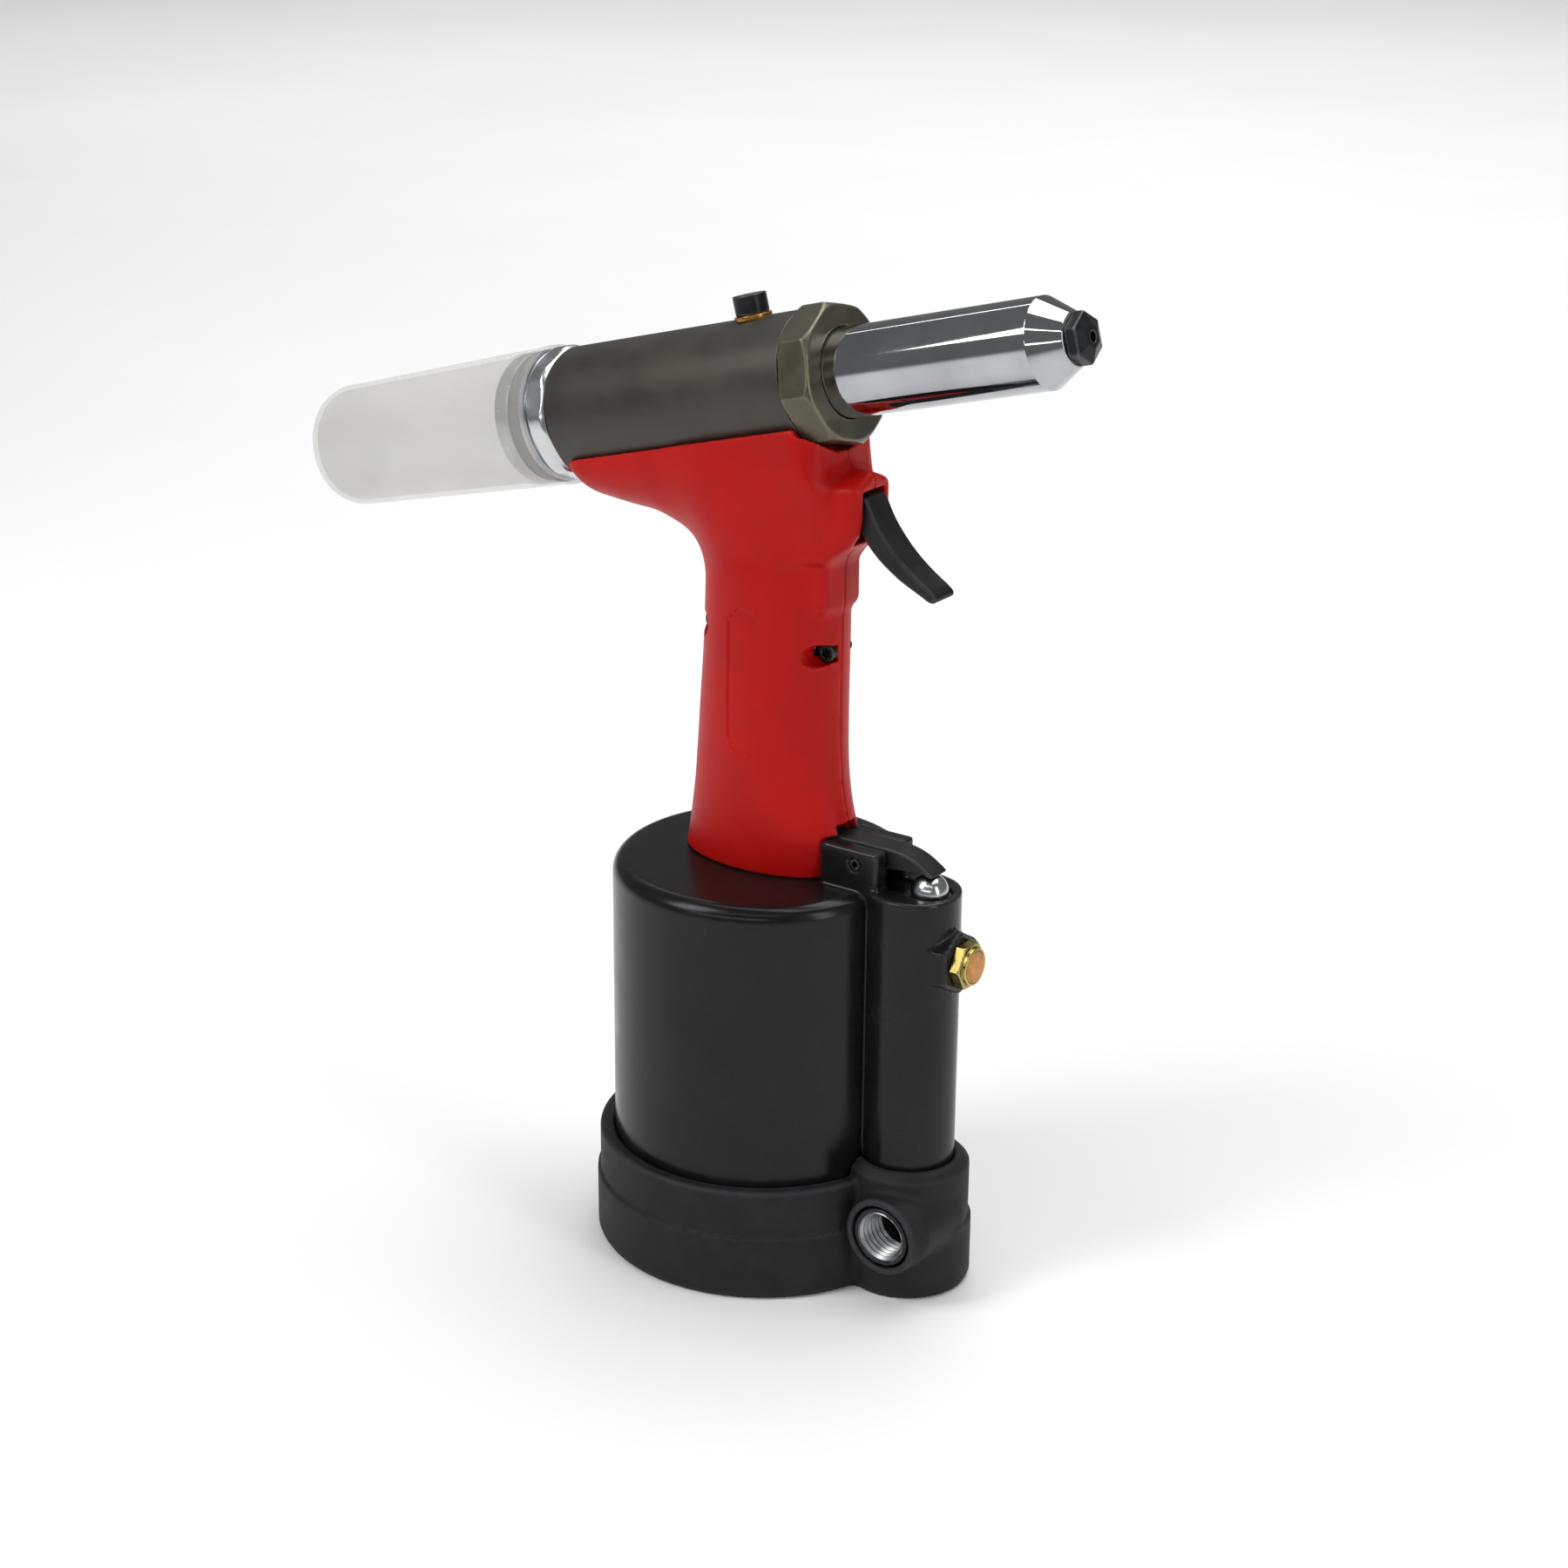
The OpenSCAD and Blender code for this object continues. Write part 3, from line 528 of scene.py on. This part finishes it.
# %% [markdown]
# ## The rubber boot
# The boot is moulded in one piece and stretched over the foot. It has a thicker band at the
# floor, a collar that climbs the tower, and a fairing with a hole for the air fitting. Rubber
# moulds leave soft corners, and the lip rolls inward, which draws a dark line at the cylinder.

# %% Rubber boot
def boot_shape(x, y, z):
    r, rt = np.sqrt(x * x + y * y), np.sqrt((x - tower_x) ** 2 + y * y)
    band = blend(drum(r, z - 22.0, 43.8, 22.0, 2.4), drum(rt, z - 22.0, 16.7, 22.0, 2.4), 1.6)
    band = meet(band, z - 17.8, 0.9)
    collar = meet(drum(rt, z - 17.4, 15.9, 17.4, 0.5), (rt + z - 48.6) / 1.4142, 0.4)
    wall = blend(drum(r, z - 15.1, 43.0, 15.1, 1.0), collar, 2.0)
    body = blend(band, wall, 0.5)
    around_inlet = np.sqrt((x - valve_x - 0.3) ** 2 + (z - inlet_z) ** 2)
    beside = np.sqrt((x - valve_x - 4.7) ** 2 + (z - inlet_z - 1.0) ** 2)
    ring = blend(drum(around_inlet, y + 8.2, 10.3, 12.2, 1.1), drum(beside, y + 8.0, 7.3, 9.0, 2.0), 4.0)
    body = blend(body, ring, 1.6)
    inside = blend(upright(x, y, z, 0.0, 3.0, 70.0, 39.12), upright(x, y, z, tower_x, 3.0, 70.0, 12.02), 0.3)
    body = cut(body, inside, 1.0)
    body = cut(body, drum(around_inlet, y + 15.0, 8.5, 12.0, 0.1), 0.7)
    return np.maximum(np.maximum(body, 0.02 - z), np.abs(y) - 43.77)


boot = moulded("rubber_boot", boot_shape, (-44.2, -44.2, -0.2), (63.2, 44.2, 35.4), 0.85)
place(boot, "frame", boot_rubber, "base_boot", slot="boot_rubber")

# %% [markdown]
# ## The grip
# Two nylon shells close on the oil column. The hand part is an oval that swells a little at the
# bottom, and it flows back into a wing under the barrel. Ahead of it stand a flat fronted
# neck and the guard that houses the trigger's pivot. Every slice of the oval is an ellipse
# whose size is read from smooth lines up the grip.

# %% Grip body
def grip_solid(x, y, z):
    rear = smooth_line(z, [104, 112, 120, 126, 133, 141, 150, 160, 171, 224],
                       [-22.9, -21.5, -20.3, -19.4, -18.7, -18.0, -17.3, -16.5, -16.0, -16.0])
    front = smooth_line(z, [106, 112, 118, 121, 124, 130, 138, 146, 178, 190, 200, 215],
                        [25, 26, 26.9, 26.1, 25.3, 24.2, 23.5, 23.3, 23.3, 23.0, 22.6, 22.4])
    width = smooth_line(z, [104, 112, 120, 133, 150, 171, 190, 224],
                        [13.9, 14.0, 14.2, 14.7, 15.1, 15.1, 14.8, 14.5])
    centre, half = (rear + front) / 2, (front - rear) / 2
    k0 = np.sqrt(((x - centre) / half) ** 2 + (y / width) ** 2)
    k1 = np.sqrt(((x - centre) / half ** 2) ** 2 + (y / width ** 2) ** 2)
    hand = meet(k0 * (k0 - 1.0) / np.maximum(k1, 1e-4), z - 222.0, 2.0)
    hand = blend(hand, slab(x, y, z, (10.0, 0, 184.0), (13.3, 8.2, 8.0), 2.0), 2.5)
    hand = blend(hand, slab(x, y, z, (10.0, 0, 209.0), (12.5, 10.8, 13.0), 2.0), 3.0)
    s, h = in_barrel(x, z)
    under = smooth_line(s, [-60, -53.5, -45.5, -37.6, -32.7, -25, -10, 12],
                        [-18.9, -21.9, -25.1, -28, -30.7, -33, -34, -30])
    deep = -9.0 - under
    drop = np.minimum(h + 9.0, 0.0)
    w0 = np.sqrt((y / 14.6) ** 2 + (drop / deep) ** 2)
    w1 = np.sqrt((y / 14.6 ** 2) ** 2 + (drop / deep ** 2) ** 2)
    wing = w0 * (w0 - 1.0) / np.maximum(w1, 1e-4)
    wing = meet(meet(wing, h + 10.2, 0.8), -s - 58.0, 5.0)
    wing = meet(wing, s - 13.0, 2.0)
    body = blend(hand, wing, 13.0)
    side = np.abs(y) - 15.1 - np.maximum(188.0 - z, 0.0) * 0.25
    return meet(body, side, 2.0)


def guard(x, y, z):
    side = outline(x, z,
                   [(8, 189.5), (23.3, 189.5), (28.8, 193.3), (31.4, 197), (32, 201), (31.9, 218), (8, 218)])
    wide = np.abs(y)
    plan = meet(wide - 12.2, 0.3647 * (x - 20) + 0.9312 * (wide - 12.0), 5.0)
    top = (z + 0.4 * wide - 212.1) / 1.077
    return meet(meet(side, plan, 2.4), top, 1.8)


# %% [markdown]
# The shells are hollowed for what moves inside them: the pull rod, the lever's tail and the
# trigger. Each half stops at the middle plane with its edge rounded, so the seam between the
# two reads as a fine valley, as it does on any moulded pair.

# %% Grip shells
screw_spots = [(20.6, 165.0, 3.4), (-12.8, 168.0, 5.0)]


def grip_shape(x, y, z):
    body = blend(grip_solid(x, y, z), guard(x, y, z), 3.0)
    body = meet(body, 106.45 - z, 0.8)
    u, v = x - 3.6, z - np.clip(z, 142.6, 171.4)
    panel = np.sqrt(u * u + v * v) - 4.6
    body = np.minimum(body + 0.35, meet(body, -panel, 0.4))
    s, h = in_barrel(x, z)
    away = np.sqrt(y * y + h * h)
    body = meet(body, h + 10.2, 0.6)
    body = cut(body, away - 16.72, 0.25)
    body = cut(body, meet(away - 18.1, 15.3 - s, 0.3), 0.4)
    body = np.maximum(body, -(np.sqrt(x * x + y * y) - 10.65))
    body = cut(body, slab(x, y, z, (14.6, 0, 156.0), (3.1, 4.0, 60.0), 0.3), 0.3)
    body = cut(body, slab(x, y, z, (21.5, 0, 100.0), (11.0, 4.0, 20.5), 0.6), 0.6)
    body = cut(body, slab(x, y, z, (32.0, 0, 100.0), (8.9, 9.0, 17.8), 0.8), 0.8)
    body = cut(body, slab(x, y, z, (27.0, 0, 201.0), (15.6, 4.8, 6.6), 0.6), 0.8)
    body = cut(body, slab(x, y, z, (16.3, 0, 205.0), (5.2, 4.8, 6.8), 0.4), 0.4)
    for sx, sz, sy in screw_spots:
        off = np.sqrt((x - sx) ** 2 + (z - sz) ** 2)
        body = cut(body, drum(off, y + 18 + sy, 2.85, 20.0, 0.3), 0.6)
    return body


for name, side in (("grip_right_shell", 1.0), ("grip_left_shell", -1.0)):
    low, high = ((-58.5, -15.6, 105.8), (33.0, 0.6,
                                         231.5)) if side > 0 else ((-58.5, -0.6, 105.8), (33.0, 15.6, 231.5))
    shell = moulded(name, lambda x, y, z: meet(grip_shape(x, y, z), side * y + 0.05, 0.45), low, high, 0.75)
    place(shell, "frame", red_nylon, name.replace("_shell", ""), slot="grip_plastic")

# %% [markdown]
# ## The trigger and the rocker lever
# Both are small steel levers with curved outlines and rolled edges. Each outline is a row of
# points whose corners are cut twice, which turns a polygon into a smooth curve, and then it is
# given its thickness.

# %% Trigger and lever
def soften(points, rounds=2):
    for _ in range(rounds):
        p = np.array(points, float)
        q = np.roll(p, -1, axis=0)
        points = np.stack([0.78 * p + 0.22 * q, 0.22 * p + 0.78 * q], 1).reshape(-1, 2)
    return points.tolist()


trigger_side = soften([(18.6, 200), (18.6, 206.2), (28.5, 206.6), (31.8, 206.4), (33.2, 204.6), (35, 201),
                       (37.6, 197.4), (41.2, 193.4), (46, 189.4), (53.2, 184.8), (51.4, 182.9),
                       (47.4, 184.9),
                       (42, 187.4), (36.6, 191), (32.6, 194.8), (30.4, 198.2), (27, 199.4)])
lever_side = soften([(12.5, 112.4), (12.5, 117), (22, 117.6), (38.4, 117.7), (43, 117.5), (46, 116.9),
                     (48.6, 115.9),
                     (51, 114.5), (53.4, 112.9), (52.7, 112.5), (51.8, 112.75), (50.5, 113), (48, 112.95),
                     (44, 112.75), (38.7, 112.1), (36, 110.8), (31, 110.8), (27, 112.2)])


def trigger_shape(x, y, z):
    blade = meet(outline(x, z, trigger_side), np.abs(y) - 4.4, 0.8)
    cheeks = slab(x, y, z, (16.2, 0, 203.0), (4.0, 4.4, 3.0), 0.8)
    body = blend(blade, cheeks, 0.8)
    body = cut(body, slab(x, y, z, (13.6, 0, 203.0), (5.0, 2.4, 9.0), 0.2), 0.3)
    for px in (24.0, 14.8):
        body = np.maximum(body, 1.58 - np.sqrt((x - px) ** 2 + (z - 203.0) ** 2) + 0 * y)
    return body


def lever_shape(x, y, z):
    body = meet(outline(x, z, lever_side), np.abs(y) - 3.6, 0.55)
    body = cut(body, slab(x, y, z, (12.9, 0, 115.0), (3.0, 2.0, 9.0), 0.2), 0.3)
    return np.maximum(body, 1.58 - np.sqrt((x - 33.4) ** 2 + (z - 113.4) ** 2) + 0 * y)


trigger = moulded("trigger_lever", trigger_shape, (11.6, -4.9, 182.4), (54.0, 4.9, 207.2), 0.45)
place(trigger, "trigger", lever_paint, "trigger", slot="trigger_metal")
rocker = moulded("rocker", lever_shape, (11.8, -4.1, 110.2), (54.0, 4.1, 118.3), 0.42)
place(rocker, "lever", lever_paint, "rocker_lever", slot="black_steel")

# %% [markdown]
# The lever presses a ground steel pin with a ball end. Pins like this are turned and polished,
# so the ball is part of the same outline.

# %% Valve pin, lever pin and shell screws
ball = [(4.8 * math.cos(a), 107.7 + 4.8 * math.sin(a)) for a in np.linspace(0, math.pi / 2, 24)[:-1]]
pin = turned("ball_pin", [(0, 84.1), (4.8, 84.1, 0.4)] + ball + [(0, 112.5)], (valve_x, 0, 0), UPRIGHT)
place(pin, "valve", ground_steel, "valve_pin", slot="ground_steel")
roll = turned("lever_roll_pin", [(0.75, -8.4, 0.15), (1.5, -8.4, 0.3), (1.5, 8.4, 0.3), (0.75, 8.4, 0.15)],
              (33.4, 0, 113.4), SIDEWAYS, 40)
place(roll, "frame", black_oxide, "lever_pin", slot="black_steel")


def socket_screw(u, v, w, head, tall, shank, deep, socket):
    """A socket head screw: u and v across it, w up out of its seat."""
    r = np.sqrt(u * u + v * v)
    body = np.minimum(drum(r, w - tall / 2, head, tall / 2, 0.35),
                      drum(r, w + deep / 2, shank, deep / 2 + 0.3, 0.2))
    sides = np.maximum.reduce([u * math.cos(a) + v * math.sin(a) for a in np.radians(range(0, 360,
                                                                                           60))]) - socket
    return cut(body, np.maximum(sides, tall * 0.42 - w), 0.12)


screw_mesh = [skin(lambda x, y, z,
                   s=s: socket_screw(x - s[0], z - s[1], -y - s[2] + 2.0, 2.35, 2.0, 1.5, 4.0 + s[2], 1.25),
                   (s[0] - 2.6, -s[2] - 0.4, s[1] - 2.6), (s[0] + 2.6, 12.0 - s[2], s[1] + 2.6),
                   0.25) for s in screw_spots]
first = len(screw_mesh[0][0])
screws = mesh_object("shell_screw_pair", np.concatenate([m[0] for m in screw_mesh]),
                     np.concatenate([screw_mesh[0][1], screw_mesh[1][1] + first]),
                     np.concatenate([m[2] for m in screw_mesh]))
place(screws, "frame", black_oxide, "shell_screws", slot="black_steel")

# %% [markdown]
# ## The muffler
# A brass body with a spanner hexagon screws into the boss, and a disc of sintered bronze lets
# the spent air out quietly. The disc stands a little proud and its rim is worn round.

# %% Muffler
def muffler_shape(x, y, z):
    w, u = z - muffler_z, x - muffler_x
    r = np.sqrt(y * y + w * w)
    flats = np.maximum.reduce([y * math.sin(a) + w * math.cos(a) + 0 * x for a in hexagon]) - 5.5
    nut = meet(meet(flats, np.abs(u - 1.45) - 1.45, 0.25), (r + 0.9 * u - 8.55) / 1.35, 0.2)
    body = blend(nut, drum(r, u - 2.0, 4.9, 2.0, 0.35), 0.3)
    body = np.minimum(body, drum(r, u + 1.2, 4.8, 1.3, 0.2))
    return cut(body, drum(r, u - 6.2, 4.28, 5.0, 0.1), 0.2)


muffler = moulded("muffler_hexagon", muffler_shape, (57.4, -6.8, 84.2), (65.0, 6.8, 97.4), 0.3)
place(muffler, "frame", turned_brass, "muffler_body", slot="brass")
FORWARD = Matrix(((1, 0, 0), (0, 1, 0), (0, 0, 1))).transposed()
disc = turned("muffler_filter", [(0, 61.7), (4.2, 61.7), (4.2, 64.5, 0.6), (3.0, 64.75), (0, 64.75)],
              (0, 0, muffler_z), FORWARD)
place(disc, "frame", sintered_bronze, "muffler_disc", slot="sintered_bronze")

# %% [markdown]
# ## The barrel
# Everything along the barrel is turned, so it comes off the same sweep: the hard anodised head,
# the chromed sleeve that tapers to the nosepiece, and the cap that closes the rear. A bottle
# for the broken mandrels slips over the cap's spigot and is held by a soft ring.

# %% Head tube and oil column
head = turned("head_tube",
              [(14, -46), (14.6, -46), (14.6, -58.2, 0.3), (16.64, -58.2, 0.6), (16.64, 15.5, 0.5),
                            (10.9, 15.5, 0.3), (10.9, 9), (8.06, 9), (8.06, 4), (14, 4)])
place(head, "frame", head_anodising, "head_frame", slot="grey_anodised")


def column_shape(x, y, z):
    r = np.sqrt(x * x + y * y)
    s, h = in_barrel(x, z)
    body = np.minimum(drum(r, z - 165.0, 10.5, 56.5, 0.5), drum(r, z - 104.5, 9.9, 8.0, 0.5))
    body = np.maximum(body, 15.6 - np.sqrt(y * y + h * h))
    body = np.maximum(body, 6.4 - r)
    return np.maximum(body, -drum(r, z - 90.0, 8.0, 18.2, 0.01))


column = moulded("oil_column", column_shape, (-11.2, -11.2, 96.0), (11.2, 11.2, 220.0), 1.1)
place(column, "frame", head_anodising, "head_frame", slot="grey_anodised")

# %% Nose
sleeve = turned("chromed_sleeve", [(9.3, 9.3), (10.44, 9.3), (10.44, 15.6), (10.94, 15.6), (10.94, 81, 0.35),
                                   (6.4, 88.3, 0.5), (4.05, 88.3, 0.2), (4.05, 80), (9.3, 80)], sides=160)
place(sleeve, "frame", chrome_plate, "nose_sleeve", slot="chrome")


def round_the_nose(count, first, flat):
    """Field of a many sided bar along the barrel, its flats that far from the axis."""
    turns = np.radians(first + 360.0 / count * np.arange(count))
    return lambda y, h: np.maximum.reduce([-h * math.cos(a) + y * math.sin(a) for a in turns]) - flat


nut_flats = round_the_nose(8, 30.5, 16.54)
tip_flats = round_the_nose(6, 30.0, 5.46)
cap_flats = round_the_nose(8, 22.5, 16.63)


def nut_shape(x, y, z):
    s, h = in_barrel(x, z)
    r = np.sqrt(y * y + h * h)
    body = meet(nut_flats(y, h) + 0 * s, np.abs(s - 20.05) - 4.45, 0.45)
    body = meet(body, (r + 1.1 * (s - 24.5) - 16.4) / 1.49, 0.4)
    body = meet(body, (r - 1.0 * (s - 15.6) - 17.0) / 1.41, 0.3)
    return cut(body, np.maximum(r - 11.0, -(40 - s)) + 0 * s, 0.7)


def nosepiece_shape(x, y, z):
    s, h = in_barrel(x, z)
    r = np.sqrt(y * y + h * h)
    flats = tip_flats(y, h)
    head = meet(flats + 0 * s, np.abs(s - 90.5) - 2.1, 0.2)
    head = meet(head, (flats + 3.0 + 2.1 * (s - 92.6)) / 2.33, 0.25)
    body = np.minimum(head, drum(r, s - 84.3, 4.0, 4.2, 0.3))
    body = np.minimum(body, drum(r, s - 78.3, 2.2, 2.4, 0.2))
    return cut(body, r - 1.25 + 0 * s, 0.35)


nut = moulded("barrel_nut", nut_shape, (5.8, -18.6, 213.0), (30.0, 18.6, 254.0), 0.55)
place(nut, "frame", nut_anodising, "lock_nut", slot="olive_anodised")
nosepiece = moulded("steel_nosepiece", nosepiece_shape, (72.0, -6.8, 240.0), (92.6, 6.8, 259.8), 0.33)
place(nosepiece, "frame", black_oxide, "nosepiece", slot="nose_steel")

# %% Rear cap and bottle
def flange_shape(x, y, z):
    s, h = in_barrel(x, z)
    r = np.sqrt(y * y + h * h)
    body = meet(cap_flats(y, h) + 0 * s, np.abs(s + 61.35) - 3.05, 0.35)
    body = meet(body, r - 17.3 + 0 * s, 0.3)
    body = meet(body, (r + 1.0 * (np.abs(s + 61.35) - 3.05) - 16.3) / 1.41, 0.3)
    return np.maximum(body, 7.1 - r)


flange = moulded("rear_cap_flange", flange_shape, (-68.0, -18.0, 194.0), (-50.0, 18.0, 234.0), 0.55)
place(flange, "frame", turned_aluminium, "rear_cap", slot="machined_aluminium")
spigot = turned("rear_cap_spigot",
                [(7.06, -46.5), (14.5, -46.5, 0.3), (14.5, -64.3), (16.85, -64.3), (16.85, -66.6, 0.2),
                                    (13.7, -66.6), (13.7, -70.4), (16.85, -70.4, 0.2), (16.85, -75, 0.6),
                 (9.5, -75, 0.4),
                                    (9.5, -72), (7.06, -72)])
place(spigot, "frame", turned_aluminium, "rear_cap", slot="machined_aluminium")
ring_line = [(15.4 + 1.6 * math.cos(a),
              -68.5 + 1.6 * math.sin(a)) for a in np.linspace(0, 2 * math.pi, 28)[:-1]]
oring = turned("bottle_ring", ring_line)
place(oring, "frame", blue_seal, "collector_oring", slot="blue_seal")
bottle = turned("mandrel_bottle",
                [(17.1, -64.6, 0.2), (18, -64.6, 0.5), (18, -66.6, 0.4), (17.75, -67.4, 0.3),
                 (17.7, -75.6, 3),
                                   (16.2, -140.0, 3), (14.9, -143.4, 2.2), (0, -143.4), (0, -142.1),
                 (14.3, -142.1, 1.6),
                                   (15.0, -139.6, 2), (16.3, -78.4, 2), (17.1, -76, 1)], sides=128)
place(bottle, "bottle", milky_polythene, "collector_bottle", slot="clear_bottle")

# %% [markdown]
# The oil circuit is bled through a socket screw on top of the head. Its copper washer crushes
# to seal, so it shows as a thin bright ring under the black head.

# %% Bleed screw
washer = turned("bleed_ring", [(2.6, -0.45), (4.7, -0.45, 0.2), (4.7, 0.75, 0.25), (2.6, 0.75, 0.1)],
                (-math.sin(tilt) * 16.64, 0, axis_z + math.cos(tilt) * 16.64),
                Matrix((across.tolist(), (0.0, 1.0, 0.0), along.tolist())).transposed())
place(washer, "frame", copper_washer, "bleed_washer", slot="copper_washer")
bleed = moulded("bleed_socket_screw", lambda x, y,
                z: socket_screw(*(lambda s, h: (s, y, h - 17.44))(*in_barrel(x, z)),
                4.2, 4.9, 2.5, 2.4, 2.15), (-10.5, -4.5, 240.0), (1.5, 4.5, 252.5), 0.3)
place(bleed, "frame", black_oxide, "bleed_screw", slot="black_steel")

# %% [markdown]
# ## What stays from the solids
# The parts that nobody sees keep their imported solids: pistons, seals, jaws and springs. They
# still need a finish, because the bottle is clear and a cutaway may show them.

# %% Finishes of the inner parts
finishes = {
    "boot_rubber": boot_rubber, "black_casting": powder_coat, "machined_aluminium": turned_aluminium,
    "seal_rubber": seal_rubber, "blue_seal": blue_seal, "ground_steel": ground_steel,
            "black_steel": black_oxide,
    "spring_steel": spring_wire, "brass": turned_brass, "sintered_bronze": sintered_bronze,
    "grip_plastic": red_nylon, "trigger_metal": lever_paint, "grey_anodised": head_anodising,
    "olive_anodised": nut_anodising, "copper_washer": copper_washer, "chrome": chrome_plate,
    "nose_steel": black_oxide, "clear_bottle": milky_polythene}
slots = {part["node"]: part["material_slot"] for part in frame["record"]["subparts"]}
for node, solid in frame["nodes"].items():
    solid.data.materials.clear()
    solid.data.materials.append(finishes[slots[node]])
print(len(frame["nodes"]), "solids finished")

# %% [markdown]
# ## Springs
# Each spring's solid is copied as a coil with the spring wire finish, and the copy keeps the solid's shape.
# The one in the head lies along the tilted barrel and would give up 14.2 of its 27.3 mm. The one under the
# valve would give up 1.8 of its 13.8 mm. These ratios are only printed here. The wire would flatten with
# them: the head spring's seven turns would otherwise meet before the full pull.

# %% Springs
lean = math.radians(14.47)
along_barrel = (math.cos(lean), 0, math.sin(lean))
rear_seat = (-0.0464 * math.cos(lean), 0, 0.22896 - 0.0464 * math.sin(lean))
springs = {"head_spring": ("draw_bar_pull", along_barrel, rear_seat, 13.05 / 27.3),
           "valve_spring": ("valve_press", (0, 0, 1), (0.0505, 0, 0.0301), 11.95 / 13.8)}
for node, (joint, axis, anchor, keep) in springs.items():
    coil = bpy.data.objects.new(node + "_coil", frame["nodes"][node].data.copy())
    bpy.context.scene.collection.objects.link(coil)
    coil.data.materials.clear()
    place(coil, "frame", spring_wire, node, slot="spring_steel")
    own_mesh(coil)
    print(coil.name, "keeps", round(keep, 3), "of its length")

# %% [markdown]
# ## Stage, light and camera
# A flat pale floor, a soft box to the left, a narrower one on the right and a wide one above.
# Chrome shows only what surrounds it, so two thin strips in front draw long lines in it. A last
# soft box lights the floor behind, which would otherwise fall off to grey.

# %% Stage
stage = bpy.data.meshes.new("floor")
stage.from_pydata([(-9, -9, 0), (9, -9, 0), (9, 9, 0), (-9, 9, 0)], [], [(0, 1, 2, 3)])
floor = bpy.data.objects.new("floor", stage)
bpy.context.scene.collection.objects.link(floor)
floor.data.materials.append(finish_of("Matt white paper", ("#f1f1f1", "#f4f4f4"), rough=0.9, mottle=400.0,
                                      grain=2.0))

world = bpy.data.worlds.new("Pale surroundings")
world.use_nodes = True
world.node_tree.nodes["Background"].inputs["Color"].default_value = linear("#ffffff")
world.node_tree.nodes["Background"].inputs["Strength"].default_value = 0.2
bpy.context.scene.world = world


def soft_box(name, place_at, aim, wide, tall, power):
    lamp = bpy.data.lights.new(name, "AREA")
    lamp.shape, lamp.size, lamp.size_y, lamp.energy = "RECTANGLE", wide, tall, power
    holder = bpy.data.objects.new(name, lamp)
    holder.location = place_at
    holder.rotation_euler = (Vector(aim) - Vector(place_at)).to_track_quat("-Z", "Y").to_euler()
    bpy.context.scene.collection.objects.link(holder)


soft_box("key", (-0.55, -0.85, 1.1), (0, 0, 0.13), 0.5, 0.8, 9.0)
soft_box("side", (1.2, -0.2, 0.55), (0, 0, 0.15), 0.25, 0.9, 3.5)
soft_box("top", (0.1, 0.4, 1.5), (0, 0, 0.1), 1.4, 1.0, 16.0)
soft_box("low strip", (0.2, -1.3, 0.62), (0, 0, 0.2), 1.5, 0.06, 2.0)
soft_box("backdrop", (-0.9, 1.6, 2.2), (-1.2, 3.4, 0.3), 3.0, 1.5, 60.0)
soft_box("high strip", (0.2, -0.9, 1.25), (0, 0, 0.2), 1.5, 0.05, 1.5)

# %% Camera
lens = bpy.data.cameras.new("camera")
lens.lens, lens.sensor_width, lens.shift_x = 70.0, 36.0, 0.05
camera = bpy.data.objects.new("camera", lens)
camera.matrix_world = Matrix(((0.80613, -0.205726, 0.554829, 0.420445),
                              (0.59174, 0.280260, -0.755842, -0.598154),
                              (0.0, 0.937620, 0.347662, 0.396127), (0, 0, 0, 1)))
bpy.context.scene.collection.objects.link(camera)
bpy.context.scene.camera = camera

bpy.context.scene.view_settings.view_transform = "Standard"

# %% Import json
import json
